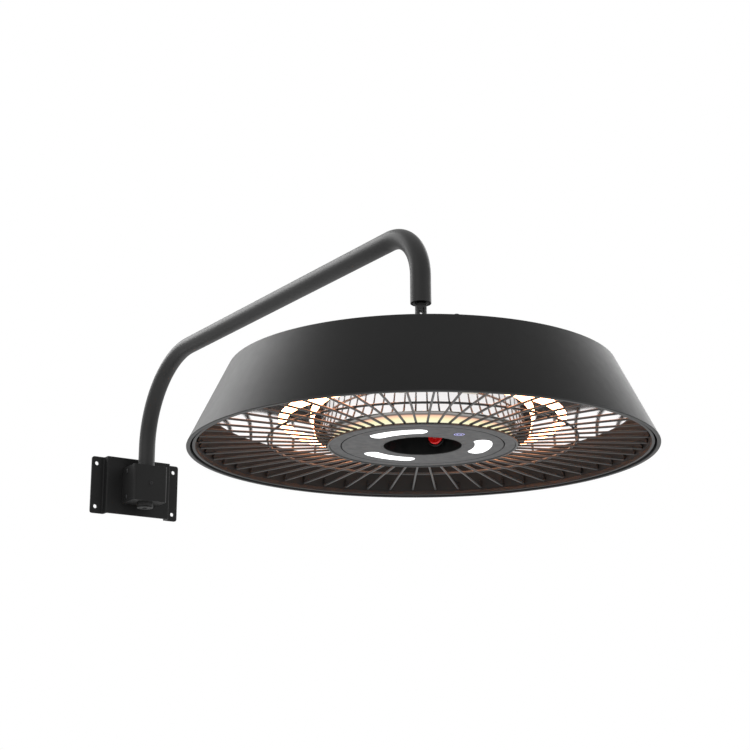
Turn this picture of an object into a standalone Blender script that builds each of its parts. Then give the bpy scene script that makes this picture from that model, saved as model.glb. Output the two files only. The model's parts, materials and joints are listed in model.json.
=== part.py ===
"""Wall-mounted pendant patio heater: wall plate, swing arm, swivel neck and heating head.

Metres, +Z up. The origin is the middle of the wall plate's hole pattern, on the wall.
+X runs right along the wall for someone who faces it, and -Y points out of the wall.
Heights inside the head are measured up from the plane of the shade's rim.
"""

import math

import bmesh
import bpy
from mathutils import Matrix, Vector

# Gaps and rounding
SEAT_GAP = 0.0003
BIG_SEGMENTS = 54
HUB_SEGMENTS = 36
FIT_SEGMENTS = 24
SMALL_SEGMENTS = 16
SCREW_SEGMENTS = 8
NUT_SIDES = 6
BEVEL_STEPS = 3

# Wall plate, a hat section of bent sheet
PLATE_WIDTH = 0.164
PLATE_HEIGHT = 0.0986
PLATE_SHEET = 0.003
PLATE_CORNER = 0.004
FLANGE_WIDTH = 0.0225
PANEL_STEP = 0.014
HOLE_INSET_X = 0.009
HOLE_INSET_Z = 0.0118
HOLE_DIAMETER = 0.007

# Arm tube: post, long run and drop in one bent tube
TUBE_DIAMETER = 0.028
TUBE_WALL = 0.0015
TUBE_SIDES = 16
AXIS_OFFSET = 0.045
ARM_REACH = 0.811
ARM_HEIGHT = 0.2135
POST_BEND_RADIUS = 0.148
DROP_BEND_RADIUS = 0.070
POST_BEND_STEPS = 9
DROP_BEND_STEPS = 7
POST_BOTTOM = -0.038
DROP_END = 0.104

# Arm bracket: box cover, pivot block, bushes and screws
BOX_WIDTH = 0.062
BOX_HEIGHT = 0.062
BOX_FRONT = 0.021
BOX_WALL = 0.002
BOX_EDGE = 0.005
BLOCK_HEIGHT = 0.052
BUSH_WALL = 0.0023
BUSH_LENGTH = 0.016
BUSH_FLANGE_RADIUS = 0.0185
BUSH_FLANGE = 0.002
COLLAR_WALL = 0.0022
SIDE_SCREW_RADIUS = 0.0022
SIDE_SCREW_HEAD_RADIUS = 0.0040
SIDE_SCREW_HEAD = 0.0022
SIDE_SCREW_DEPTH = 0.009
SIDE_SCREW_BEHIND_AXIS = 0.009
SIDE_SCREW_RISE = 0.022
CLAMP_SCREW_RADIUS = 0.0024
CLAMP_SCREW_HEAD_RADIUS = 0.0035
CLAMP_SCREW_HEAD = 0.0018
CAP_PLUG_LENGTH = 0.014
CAP_HEAD = 0.002
GLAND_BORE = 0.0045

# Swivel neck
NECK_RADIUS = 0.0078
NECK_GROOVE_DEPTH = 0.0009
NECK_GROOVE_WIDTH = 0.0014
NECK_GROOVE_DROP = 0.0022
STEM_RADIUS = 0.0052
PLUG_LENGTH = 0.026
WASHER_RADIUS = 0.0095
WASHER_THICKNESS = 0.0015
NUT_RADIUS = 0.0092
NUT_HEIGHT = 0.006
SLOT_TOP = 0.097
SLOT_WIDTH = 0.0075
PIN_HEIGHT = 0.078
PIN_RADIUS = 0.0025
PIN_HEAD_RADIUS = 0.0045
PIN_HEAD = 0.002
CLIP_THICKNESS = 0.0012
CLIP_RADIUS = 0.0050

# Hanger tang on top of the head
TANG_THICKNESS = 0.0069
TANG_WIDTH = 0.014
TANG_TOP = 0.0945
TANG_EYE_HEIGHT = 0.0904
TANG_EYE_RADIUS = 0.0020
TANG_FLANGE_RADIUS = 0.030
TANG_FLANGE = 0.006
TANG_CROWN_STEPS = 10

# Head turned on its swivel, as it stands at rest
HEAD_YAW = math.radians(-29.6)

# Shade
RIM_LEVEL = -0.0966
RIM_RADIUS = 0.3025
SHADE_TOP_RADIUS = 0.2507
SHADE_HEIGHT = 0.1061
SHADE_WALL = 0.0015
HEM_WIDTH = 0.0055
HEM_HEIGHT = 0.008
TOP_FLANGE = 0.0125

# Liner and reflector inside the shade
GROOVE_WIDTH = 0.0025
LIP_WIDTH = 0.003
LIP_LEVEL = 0.002
LIP_HEIGHT = 0.0045
LINER_HEIGHT = 0.050
LINER_FLANGE = 0.0051
LINER_WALL = 0.0012
REFLECTOR_CURVE = 2.1
REFLECTOR_WALL = 0.0010
REFLECTOR_STEPS = 6

# Hub
DISC_LEVEL = 0.0079
HUB_RADIUS = 0.1194
HUB_RING_SHEET = 0.0011
HUB_RING_WIDTH = 0.0141
HUB_RING_UPSTAND = 0.0045
PANEL_GROOVE = 0.0006
PANEL_THICKNESS = 0.0025
RECESS_RADIUS = 0.0503
RECESS_DEPTH = 0.0425
RECESS_WALL = 0.002
HOUSING_RADIUS = 0.112
HOUSING_WALL = 0.0015
HOUSING_HEIGHT = 0.077
DIFFUSER_GAP = 0.0015
DIFFUSER_WALL = 0.0022
CONE_FOOT_RADIUS = 0.137
CONE_FOOT_LEVEL = 0.020
CONE_TOP_RADIUS = 0.162
CONE_TOP_LEVEL = 0.081
CONE_WALL = 0.0012

# Light lenses, touch key and boards behind the hub panel
LENS_RADIUS = 0.0785
LENS_WIDTH = 0.023
LENS_HALF_ANGLE = math.radians(29.0)
LENS_THICKNESS = 0.0045
LENS_COUNT = 3
KEY_RADIUS = 0.0075
KEY_ORBIT = 0.0774
KEY_ANGLE = math.radians(-60.0)
BOARD_THICKNESS = 0.0016
LED_BOARD_INNER = 0.060
LED_BOARD_OUTER = 0.098
CONTROL_BOARD_LENGTH = 0.130
CONTROL_BOARD_WIDTH = 0.090
RELAY_COUNT = 3
RELAY_SIZE = 0.018
RELAY_PITCH = 0.036
RELAY_HEIGHT = 0.006

# Push button on the recess wall, pressed outwards
BUTTON_ANGLE = math.radians(60.0)
BUTTON_LEVEL = 0.0295
BUTTON_RADIUS = 0.0098
BUTTON_FACE = 0.0405
BUTTON_CAP = 0.0115
BUTTON_TRAVEL = 0.003
BUTTON_STEM_RADIUS = 0.004
BUTTON_STEM = 0.011
BUTTON_CLEARANCE = 0.0005
BUTTON_EDGE = 0.0015
COLLAR_FACE = 0.0425
COLLAR_SLEEVE = 0.0175
SLEEVE_WALL = 0.0010
COLLAR_FLANGE = 0.0013
COLLAR_FLANGE_DEPTH = 0.004
SWITCH_DEPTH = 0.018
SWITCH_SIZE = 0.024

# Guard grille
WIRE_RADIUS = 0.00125
WIRE_COUNT = 54
WIRE_SIDES = 4
GRILLE_HUB_LEVEL = 0.0106
GRILLE_MID_LEVEL = 0.0114
GRILLE_RIM_LEVEL = 0.0092
GRILLE_RING_RADIUS = 0.199
GRILLE_END_RISE = 0.010
GRILLE_HUB_GAP = 0.0008
WELD_DEPTH = 0.0004

# Heating lamps and their ceramic holders
LAMP_ORBIT = 0.180
LAMP_LEVEL = 0.041
LAMP_RADIUS = 0.0055
LAMP_HALF_ANGLE = math.radians(74.0)
LAMP_SIDES = 8
LAMP_STEPS = 14
LAMP_COUNT = 2
LAMP_END_GAP = 0.0008
HOLDER_LENGTH = 0.022
HOLDER_WIDTH = 0.016
HOLDER_BELOW = 0.008
HOLDER_EDGE = 0.0015

# Top of the head
COVER_SHEET = 0.0015
VENT_COUNT = 12
VENT_ORBIT = 0.175
VENT_LENGTH = 0.040
VENT_WIDTH = 0.006
VENT_END_STEPS = 3
CAP_HEIGHT = 0.046
CAP_FOOT_RADIUS = 0.092
CAP_NECK_RADIUS = 0.022
CAP_WALL = 0.002
CAP_STEPS = 4
SHIELD_RADIUS = 0.205
SHIELD_LIP = 0.012
SHIELD_SHEET = 0.001
SHIELD_HOLE = 0.020
POST_COUNT = 3
POST_RADIUS = 0.005
POST_ORBIT = 0.085
SCREW_COUNT = 6
SCREW_INSET = 0.0062
SCREW_RADIUS = 0.0020
SCREW_HEAD_RADIUS = 0.0038
SCREW_HEAD = 0.0018
SCREW_LENGTH = 0.008
HEAD_SIDE_SHARE = 0.6
HEAD_FACE_SHARE = 0.75
TERMINAL_LENGTH = 0.040
TERMINAL_WIDTH = 0.018
TERMINAL_HEIGHT = 0.014
TERMINAL_ORBIT = 0.052
TERMINAL_EDGE = 0.001

# Places that several pieces share
TUBE_RADIUS = TUBE_DIAMETER / 2
HEAD_Y = -(AXIS_OFFSET + ARM_REACH)
BOX_FRONT_Y = -(AXIS_OFFSET + BOX_FRONT)
PANEL_FRONT_Y = -(PLATE_SHEET + PANEL_STEP)
HOLE_X = PLATE_WIDTH / 2 - HOLE_INSET_X
HOLE_Z = PLATE_HEIGHT / 2 - HOLE_INSET_Z
BUSH_RADIUS = TUBE_RADIUS + SEAT_GAP + BUSH_WALL
BLOCK_BORE = BUSH_RADIUS + SEAT_GAP
COLLAR_RADIUS = TUBE_RADIUS + SEAT_GAP + COLLAR_WALL
PLUG_RADIUS = (TUBE_RADIUS - TUBE_WALL) * math.cos(math.pi / TUBE_SIDES) - SEAT_GAP
LINER_FOOT_RADIUS = RIM_RADIUS - HEM_WIDTH - GROOVE_WIDTH - LIP_WIDTH
SHADE_LEAN = (SHADE_TOP_RADIUS - RIM_RADIUS) / SHADE_HEIGHT
LINER_TOP_RADIUS = RIM_RADIUS + SHADE_LEAN * LINER_HEIGHT - SHADE_WALL - LINER_FLANGE
SCREW_ORBIT = SHADE_TOP_RADIUS - SCREW_INSET
SHADE_TOP = SHADE_HEIGHT
COVER_TOP = SHADE_TOP - SHADE_WALL - SEAT_GAP
COVER_BOTTOM = COVER_TOP - COVER_SHEET
HOUSING_FOOT = DISC_LEVEL + HUB_RING_SHEET + SEAT_GAP
HOUSING_TOP = HOUSING_FOOT + HOUSING_HEIGHT
DIFFUSER_INNER = HOUSING_RADIUS + DIFFUSER_GAP
DIFFUSER_OUTER = DIFFUSER_INNER + DIFFUSER_WALL
GRILLE_HUB_RADIUS = DIFFUSER_OUTER + GRILLE_HUB_GAP + WIRE_RADIUS
LED_BOARD_LEVEL = DISC_LEVEL + LENS_THICKNESS + SEAT_GAP
SWITCH_FACE = COLLAR_FACE + COLLAR_SLEEVE + SEAT_GAP
SLEEVE_BORE = BUTTON_RADIUS + BUTTON_CLEARANCE
SLEEVE_RADIUS = SLEEVE_BORE + SLEEVE_WALL

# Colours and finishes: base colour, metallic, roughness
FINISHES = {
    "matt_black": ((0.020, 0.020, 0.021), 0.0, 0.55),
    "box_black": ((0.012, 0.012, 0.013), 0.0, 0.50),
    "hub_black": ((0.055, 0.055, 0.057), 0.0, 0.60),
    "recess_black": ((0.008, 0.008, 0.008), 0.0, 0.45),
    "liner_brown": ((0.030, 0.026, 0.024), 0.1, 0.55),
    "wire_black": ((0.022, 0.018, 0.016), 0.2, 0.45),
    "reflector": ((0.82, 0.82, 0.82), 1.0, 0.18),
    "steel": ((0.55, 0.55, 0.56), 1.0, 0.35),
    "black_screw": ((0.03, 0.03, 0.03), 0.6, 0.40),
    "nylon": ((0.05, 0.05, 0.05), 0.0, 0.50),
    "ceramic": ((0.80, 0.77, 0.70), 0.0, 0.60),
    "quartz": ((1.00, 0.72, 0.45), 0.0, 0.10),
    "diffuser": ((0.95, 0.88, 0.66), 0.0, 0.50),
    "lens": ((0.95, 0.96, 0.97), 0.0, 0.30),
    "button_red": ((0.45, 0.01, 0.01), 0.0, 0.30),
    "key_blue": ((0.10, 0.11, 0.60), 0.0, 0.25),
    "circuit_board": ((0.03, 0.16, 0.06), 0.0, 0.50),
}


def clear_scene():
    """Remove what the scene holds and return collections for the parts and the cutters."""
    for old in list(bpy.data.objects):
        bpy.data.objects.remove(old, do_unlink=True)
    parts = bpy.data.collections.new("patio_heater")
    cutters = bpy.data.collections.new("cutters")
    for collection in (parts, cutters):
        bpy.context.scene.collection.children.link(collection)
    return parts, cutters


PARTS, CUTTERS = clear_scene()


def finish(name):
    """Return the named material, made once."""
    material = bpy.data.materials.get(name)
    if material is None:
        colour, metallic, roughness = FINISHES[name]
        material = bpy.data.materials.new(name)
        material.use_nodes = True
        shader = material.node_tree.nodes["Principled BSDF"]
        shader.inputs["Base Color"].default_value = (*colour, 1.0)
        shader.inputs["Metallic"].default_value = metallic
        shader.inputs["Roughness"].default_value = roughness
    return material


def add_object(name, data, material, matrix=Matrix.Identity(4)):
    """Put a mesh or curve in the parts collection under its own name."""
    piece = bpy.data.objects.new(name, data)
    piece.matrix_world = matrix
    data.materials.append(finish(material))
    PARTS.objects.link(piece)
    return piece


def as_cutter(piece):
    """Move an object to the cutters, so that it isn't part of the model."""
    PARTS.objects.unlink(piece)
    CUTTERS.objects.link(piece)
    piece.hide_render = True
    piece.display_type = "WIRE"
    return piece


def combine(piece, other, operation):
    """Add a Boolean modifier to a piece and put the other object with the cutters."""
    modifier = piece.modifiers.new(other.name, "BOOLEAN")
    modifier.operation = operation
    modifier.object = as_cutter(other)
    modifier.solver = "EXACT"
    return modifier


def cut(piece, *cutters):
    for cutter in cutters:
        combine(piece, cutter, "DIFFERENCE")


def fuse(piece, *others):
    for other in others:
        combine(piece, other, "UNION")


def smooth(piece, angle=math.radians(35)):
    """Shade a mesh smooth, with its real edges kept sharp."""
    piece.data.shade_smooth()
    piece.data.set_sharp_from_angle(angle=angle)


def mesh_from(build):
    """Return a mesh filled by a bmesh function."""
    work = bmesh.new()
    build(work)
    mesh = bpy.data.meshes.new("mesh")
    work.to_mesh(mesh)
    work.free()
    return mesh


def box(name, low, high, material, matrix=Matrix.Identity(4), edge=0.0, pick=None):
    """Make a box between two corners, with a bevel on the edges that pick accepts."""
    low, high = Vector(low), Vector(high)

    def build(work):
        bmesh.ops.create_cube(work, size=1.0)
        bmesh.ops.scale(work, vec=high - low, verts=work.verts)
        bmesh.ops.translate(work, vec=(low + high) / 2, verts=work.verts)
        if edge > 0:
            chosen = [e for e in work.edges if pick is None or pick(e)]
            bmesh.ops.bevel(work, geom=chosen, offset=edge, segments=BEVEL_STEPS, profile=0.5,
                            affect="EDGES")

    return add_object(name, mesh_from(build), material, matrix)


def runs_along(edge, axis):
    """Say whether a mesh edge is parallel to an axis, given by its number."""
    step = (edge.verts[1].co - edge.verts[0].co).normalized()
    return abs(step[axis]) > 0.99


def cylinder(name, radius, low, high, material, matrix=Matrix.Identity(4), segments=SMALL_SEGMENTS):
    """Make a cylinder along local Z between two heights."""

    def build(work):
        bmesh.ops.create_cone(work, cap_ends=True, segments=segments, radius1=radius,
                              radius2=radius, depth=high - low)
        bmesh.ops.translate(work, vec=(0, 0, (low + high) / 2), verts=work.verts)

    piece = add_object(name, mesh_from(build), material, matrix)
    smooth(piece)
    return piece


def turned(name, profile, material, matrix=Matrix.Identity(4), segments=HUB_SEGMENTS):
    """Turn a closed profile of (radius, height) points about local Z."""
    points = list(profile)
    area = sum(a[0] * b[1] - b[0] * a[1] for a, b in zip(points, points[1:] + points[:1]))
    if area > 0:
        points.reverse()
    on_axis = [index for index, point in enumerate(points) if point[0] == 0]
    closed = len(on_axis) < 2
    if not closed:
        start = next(i for i in on_axis if points[i - 1][0] == 0)
        points = points[start:] + points[:start]

    def build(work):
        verts = [work.verts.new((radius, 0, height)) for radius, height in points]
        pairs = list(zip(verts, verts[1:]))
        if closed:
            pairs.append((verts[-1], verts[0]))
        for pair in pairs:
            work.edges.new(pair)

    piece = add_object(name, mesh_from(build), material, matrix)
    screw = piece.modifiers.new("turn", "SCREW")
    screw.axis = "Z"
    screw.steps = segments
    screw.render_steps = segments
    screw.use_smooth_shade = True
    screw.use_merge_vertices = True
    screw.merge_threshold = 0.00001
    return piece


def plate(name, outlines, bottom, top, material, matrix=Matrix.Identity(4)):
    """Make a flat plate from closed outlines in local XY: the first is the edge, the rest holes."""
    curve = bpy.data.curves.new(name, "CURVE")
    curve.dimensions = "2D"
    curve.fill_mode = "BOTH"
    curve.extrude = (top - bottom) / 2
    for outline in outlines:
        spline = curve.splines.new("POLY")
        spline.points.add(len(outline) - 1)
        for point, (x, y) in zip(spline.points, outline):
            point.co = (x, y, 0, 1)
        spline.use_cyclic_u = True
    lift = Matrix.Translation((0, 0, (top + bottom) / 2))
    return as_mesh(add_object(name, curve, material, matrix @ lift))


def as_mesh(piece):
    """Replace a curve object by its mesh, with the caps welded on."""
    bpy.context.view_layer.update()
    graph = bpy.context.evaluated_depsgraph_get()
    mesh = bpy.data.meshes.new_from_object(piece.evaluated_get(graph))
    work = bmesh.new()
    work.from_mesh(mesh)
    bmesh.ops.remove_doubles(work, verts=work.verts, dist=0.000001)
    bmesh.ops.recalc_face_normals(work, faces=work.faces)
    work.to_mesh(mesh)
    work.free()
    name, matrix, material = piece.name, piece.matrix_world.copy(), piece.data.materials[0].name
    bpy.data.objects.remove(piece, do_unlink=True)
    mesh.materials.clear()
    return add_object(name, mesh, material, matrix)


def rod(name, points, radius, material, matrix=Matrix.Identity(4), sides=8, closed=False):
    """Sweep a round section along points as a curve, and return its mesh."""
    curve = bpy.data.curves.new(name, "CURVE")
    curve.dimensions = "3D"
    curve.bevel_depth = radius
    curve.bevel_resolution = (sides - 4) // 2
    curve.render_resolution_u = 0
    curve.use_fill_caps = not closed
    spline = curve.splines.new("POLY")
    spline.points.add(len(points) - 1)
    for point, place in zip(spline.points, points):
        point.co = (*place, 1)
    spline.use_cyclic_u = closed
    piece = as_mesh(add_object(name, curve, material, matrix))
    smooth(piece)
    return piece


def circle(radius, segments, centre=(0, 0)):
    """Return points on a circle, counter-clockwise."""
    angles = [math.tau * step / segments for step in range(segments)]
    return [(centre[0] + radius * math.cos(a), centre[1] + radius * math.sin(a)) for a in angles]


def on_circle(radius, angle, height=0.0):
    return (radius * math.cos(angle), radius * math.sin(angle), height)


def arc_slot(radius, width, half_angle, middle, steps=7, end_steps=3):
    """Return the outline of a slot along an arc, with round ends."""
    inner, outer, end = radius - width / 2, radius + width / 2, width / 2
    reach = half_angle - end / radius
    points = []
    for step in range(steps + 1):
        angle = middle - reach + 2 * reach * step / steps
        points.append((outer * math.cos(angle), outer * math.sin(angle)))
    for step in range(1, end_steps):
        turn = middle + reach + math.pi * step / end_steps
        x, y, _ = on_circle(radius, middle + reach)
        points.append((x + end * math.cos(turn), y + end * math.sin(turn)))
    for step in range(steps + 1):
        angle = middle + reach - 2 * reach * step / steps
        points.append((inner * math.cos(angle), inner * math.sin(angle)))
    for step in range(1, end_steps):
        turn = middle - reach + math.pi + math.pi * step / end_steps
        x, y, _ = on_circle(radius, middle - reach)
        points.append((x + end * math.cos(turn), y + end * math.sin(turn)))
    return points


def along(origin, direction, up=(0, 0, 1)):
    """Return a matrix whose local Z runs along a direction from an origin."""
    z_axis = Vector(direction).normalized()
    x_axis = Vector(up).cross(z_axis).normalized()
    y_axis = z_axis.cross(x_axis)
    matrix = Matrix((x_axis, y_axis, z_axis)).transposed().to_4x4()
    matrix.translation = Vector(origin)
    return matrix


ARM_AXIS = Matrix.Translation((0, -AXIS_OFFSET, 0))
HEAD = Matrix.Translation((0, HEAD_Y, RIM_LEVEL)) @ Matrix.Rotation(HEAD_YAW, 4, "Z")
NECK = Matrix.Translation((0, HEAD_Y, 0)) @ Matrix.Rotation(HEAD_YAW, 4, "Z")


def make_wall_plate():
    """Hat section: two flanges on the wall and a raised panel, with four screw holes."""
    half = PLATE_WIDTH / 2
    panel = half - FLANGE_WIDTH
    front, sheet = -PANEL_FRONT_Y, PLATE_SHEET
    outline = [(-half, 0), (-half, -sheet), (-panel, -sheet), (-panel, -front), (panel, -front),
               (panel, -sheet), (half, -sheet), (half, 0), (panel - sheet, 0),
               (panel - sheet, sheet - front), (sheet - panel, sheet - front), (sheet - panel, 0)]
    piece = plate("wall_plate", [outline], -PLATE_HEIGHT / 2, PLATE_HEIGHT / 2, "box_black")
    margin = PLATE_SHEET
    corners = box("plate_corners", (-half, -front - margin, -PLATE_HEIGHT / 2),
                  (half, margin, PLATE_HEIGHT / 2), "box_black", edge=PLATE_CORNER,
                  pick=lambda e: runs_along(e, 1))
    combine(piece, corners, "INTERSECT")
    for side in (-1, 1):
        for level in (-1, 1):
            place = (side * HOLE_X, margin, level * HOLE_Z)
            hole = cylinder("plate_hole", HOLE_DIAMETER / 2, 0, PLATE_SHEET + 2 * margin,
                            "box_black", along(place, (0, -1, 0)))
            cut(piece, hole)


def side_screw_places():
    """Yield the name, the side and the place of each screw on the box's sides."""
    for side, side_name in ((-1, "left"), (1, "right")):
        for level, level_name in ((-1, "lower"), (1, "upper")):
            place = (side * BOX_WIDTH / 2, SIDE_SCREW_BEHIND_AXIS - AXIS_OFFSET, level * SIDE_SCREW_RISE)
            yield f"bracket_screw_{side_name}_{level_name}", side, place


def make_bracket():
    """Box cover over the pivot block, open towards the wall plate."""
    back = PANEL_FRONT_Y - SEAT_GAP
    half, rise = BOX_WIDTH / 2, BOX_HEIGHT / 2
    cover = box("arm_bracket", (-half, BOX_FRONT_Y, -rise), (half, back, rise), "box_black",
                edge=BOX_EDGE, pick=lambda e: runs_along(e, 2) and e.verts[0].co.y < -AXIS_OFFSET)
    inner = box("bracket_hollow", (BOX_WALL - half, BOX_FRONT_Y + BOX_WALL, BOX_WALL - rise),
                (half - BOX_WALL, back + BOX_WALL, rise - BOX_WALL), "box_black")
    bore = cylinder("bracket_bore", TUBE_RADIUS + 2 * SEAT_GAP, -BOX_HEIGHT, BOX_HEIGHT,
                    "box_black", ARM_AXIS, FIT_SEGMENTS)
    clamp_hole = cylinder("clamp_hole", CLAMP_SCREW_RADIUS + SEAT_GAP, -BOX_WALL, 2 * BOX_WALL,
                          "box_black", along((0, BOX_FRONT_Y, 0), (0, 1, 0)))
    cut(cover, inner, bore, clamp_hole)
    for name, side, place in side_screw_places():
        hole = cylinder(name + "_hole", SIDE_SCREW_RADIUS + SEAT_GAP, -BOX_WALL, 2 * BOX_WALL,
                        "box_black", along(place, (-side, 0, 0)))
        cut(cover, hole)


def make_pivot_block():
    """Block inside the box that carries the bushes and takes the screws."""
    half = BOX_WIDTH / 2 - BOX_WALL - SEAT_GAP
    front = BOX_FRONT_Y + BOX_WALL + SEAT_GAP
    block = box("pivot_block", (-half, front, -BLOCK_HEIGHT / 2),
                (half, PANEL_FRONT_Y - SEAT_GAP, BLOCK_HEIGHT / 2), "steel",
                edge=BOX_EDGE - BOX_WALL,
                pick=lambda e: runs_along(e, 2) and e.verts[0].co.y < -AXIS_OFFSET)
    bore = cylinder("block_bore", BLOCK_BORE, -BLOCK_HEIGHT, BLOCK_HEIGHT, "steel",
                    ARM_AXIS, FIT_SEGMENTS)
    clamp_hole = cylinder("block_clamp_hole", CLAMP_SCREW_RADIUS + SEAT_GAP, -BOX_WALL, BOX_FRONT,
                          "steel", along((0, BOX_FRONT_Y, 0), (0, 1, 0)))
    cut(block, bore, clamp_hole)
    for name, side, place in side_screw_places():
        hole = cylinder(name + "_thread", SIDE_SCREW_RADIUS + SEAT_GAP, -BOX_WALL,
                        SIDE_SCREW_DEPTH + SEAT_GAP, "steel", along(place, (-side, 0, 0)))
        cut(block, hole)


def make_bushes():
    """Flanged nylon bushes at the top and bottom of the pivot block."""
    inner = TUBE_RADIUS + SEAT_GAP
    seat = BLOCK_HEIGHT / 2 + SEAT_GAP
    foot = BLOCK_HEIGHT / 2 - BUSH_LENGTH
    for name, side in (("upper_bush", 1), ("lower_bush", -1)):
        profile = [(inner, side * foot), (BUSH_RADIUS, side * foot), (BUSH_RADIUS, side * seat),
                   (BUSH_FLANGE_RADIUS, side * seat), (BUSH_FLANGE_RADIUS, side * (seat + BUSH_FLANGE)),
                   (inner, side * (seat + BUSH_FLANGE))]
        turned(name, profile, "nylon", ARM_AXIS, FIT_SEGMENTS)


def screw(name, shank_radius, shank, head_radius, head, material, matrix):
    """Make a round-headed screw: the head above local Z = 0, the shank below it."""
    profile = [(0, -shank), (shank_radius, -shank), (shank_radius, 0), (head_radius, 0),
               (head_radius, HEAD_SIDE_SHARE * head), (HEAD_FACE_SHARE * head_radius, head), (0, head)]
    return turned(name, profile, material, matrix, SCREW_SEGMENTS)


def make_bracket_screws():
    """Four cover screws and the clamp screw that holds the arm's turn."""
    for name, side, place in side_screw_places():
        seat = Vector(place) + Vector((side * SEAT_GAP, 0, 0))
        screw(name, SIDE_SCREW_RADIUS, SIDE_SCREW_DEPTH, SIDE_SCREW_HEAD_RADIUS,
              SIDE_SCREW_HEAD, "black_screw", along(seat, (side, 0, 0)))
    reach = BOX_FRONT - COLLAR_RADIUS
    screw("clamp_screw", CLAMP_SCREW_RADIUS, reach, CLAMP_SCREW_HEAD_RADIUS, CLAMP_SCREW_HEAD,
          "black_screw", along((0, BOX_FRONT_Y - SEAT_GAP, 0), (0, -1, 0)))


def arm_path(overrun=0.0):
    """Return the tube's centreline from the post's foot to the drop's end."""
    big, small = POST_BEND_RADIUS, DROP_BEND_RADIUS
    points = [(0, -AXIS_OFFSET, POST_BOTTOM - overrun)]
    for step in range(POST_BEND_STEPS + 1):
        turn = math.radians(90) * step / POST_BEND_STEPS
        points.append((0, -AXIS_OFFSET - big * (1 - math.cos(turn)),
                       ARM_HEIGHT - big + big * math.sin(turn)))
    for step in range(DROP_BEND_STEPS + 1):
        turn = math.radians(90) * step / DROP_BEND_STEPS
        points.append((0, HEAD_Y + small * (1 - math.sin(turn)),
                       ARM_HEIGHT - small + small * math.cos(turn)))
    points.append((0, HEAD_Y, DROP_END - overrun))
    return points


def make_arm_tube():
    """Bent tube with an open bore from end to end."""
    tube = rod("arm_tube", arm_path(), TUBE_RADIUS, "matt_black", sides=TUBE_SIDES)
    bore = rod("arm_bore", arm_path(TUBE_WALL), TUBE_RADIUS - TUBE_WALL, "matt_black", sides=TUBE_SIDES)
    cut(tube, bore)


def make_arm_fittings():
    """Stop collar inside the block, cap with the cable gland, and plug in the drop's end."""
    inner = TUBE_RADIUS + SEAT_GAP
    half = BLOCK_HEIGHT / 2 - BUSH_LENGTH - SEAT_GAP
    turned("stop_collar", [(inner, -half), (COLLAR_RADIUS, -half), (COLLAR_RADIUS, half), (inner, half)],
           "steel", ARM_AXIS, FIT_SEGMENTS)
    seat = POST_BOTTOM - SEAT_GAP
    turned("arm_end_cap",
           [(GLAND_BORE, seat - CAP_HEAD), (TUBE_RADIUS, seat - CAP_HEAD), (TUBE_RADIUS, seat),
            (PLUG_RADIUS, seat), (PLUG_RADIUS, POST_BOTTOM + CAP_PLUG_LENGTH),
            (GLAND_BORE, POST_BOTTOM + CAP_PLUG_LENGTH)],
           "nylon", ARM_AXIS, SMALL_SEGMENTS)
    bore = STEM_RADIUS + SEAT_GAP
    turned("drop_end_plug",
           [(bore, DROP_END), (PLUG_RADIUS, DROP_END), (PLUG_RADIUS, DROP_END + PLUG_LENGTH),
            (bore, DROP_END + PLUG_LENGTH)],
           "steel", NECK, FIT_SEGMENTS)


def make_neck():
    """Swivel fork on its stem, with washer, nut, hanger pin and pin clip."""
    top = DROP_END - SEAT_GAP
    bottom = PIN_HEIGHT - NECK_RADIUS
    washer = DROP_END + PLUG_LENGTH + SEAT_GAP
    nut = washer + WASHER_THICKNESS + SEAT_GAP
    groove = top - NECK_GROOVE_DROP
    profile = [(0, bottom), (NECK_RADIUS, bottom), (NECK_RADIUS, groove - NECK_GROOVE_WIDTH),
               (NECK_RADIUS - NECK_GROOVE_DEPTH, groove - NECK_GROOVE_WIDTH),
               (NECK_RADIUS - NECK_GROOVE_DEPTH, groove), (NECK_RADIUS, groove), (NECK_RADIUS, top),
               (STEM_RADIUS, top), (STEM_RADIUS, nut + NUT_HEIGHT), (0, nut + NUT_HEIGHT)]
    fork = turned("swivel_fork", profile, "matt_black", NECK, SMALL_SEGMENTS)
    wide = 2 * NECK_RADIUS
    slot = box("fork_slot", (-SLOT_WIDTH / 2, -wide, bottom - wide), (SLOT_WIDTH / 2, wide, SLOT_TOP),
               "matt_black", NECK)
    pin_matrix = NECK @ along((0, 0, PIN_HEIGHT), (1, 0, 0))
    pin_hole = cylinder("fork_pin_hole", PIN_RADIUS + SEAT_GAP, -wide, wide, "matt_black", pin_matrix)
    cut(fork, slot, pin_hole)
    turned("neck_washer", [(STEM_RADIUS + SEAT_GAP, washer), (WASHER_RADIUS, washer),
                           (WASHER_RADIUS, washer + WASHER_THICKNESS),
                           (STEM_RADIUS + SEAT_GAP, washer + WASHER_THICKNESS)],
           "nylon", NECK, FIT_SEGMENTS)
    nut_piece = cylinder("neck_nut", NUT_RADIUS, nut, nut + NUT_HEIGHT, "steel", NECK, NUT_SIDES)
    cut(nut_piece, cylinder("nut_bore", STEM_RADIUS + SEAT_GAP, nut - NUT_HEIGHT, nut + 2 * NUT_HEIGHT,
                            "steel", NECK, FIT_SEGMENTS))
    ear = NECK_RADIUS + SEAT_GAP
    clip = ear + CLIP_THICKNESS
    turned("hanger_pin", [(0, -ear - PIN_HEAD), (PIN_HEAD_RADIUS, -ear - PIN_HEAD),
                          (PIN_HEAD_RADIUS, -ear), (PIN_RADIUS, -ear),
                          (PIN_RADIUS, clip + CLIP_THICKNESS), (0, clip + CLIP_THICKNESS)],
           "steel", pin_matrix, SMALL_SEGMENTS)
    turned("pin_clip", [(PIN_RADIUS + SEAT_GAP, ear), (CLIP_RADIUS, ear), (CLIP_RADIUS, clip),
                        (PIN_RADIUS + SEAT_GAP, clip)], "steel", pin_matrix, SMALL_SEGMENTS)


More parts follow.
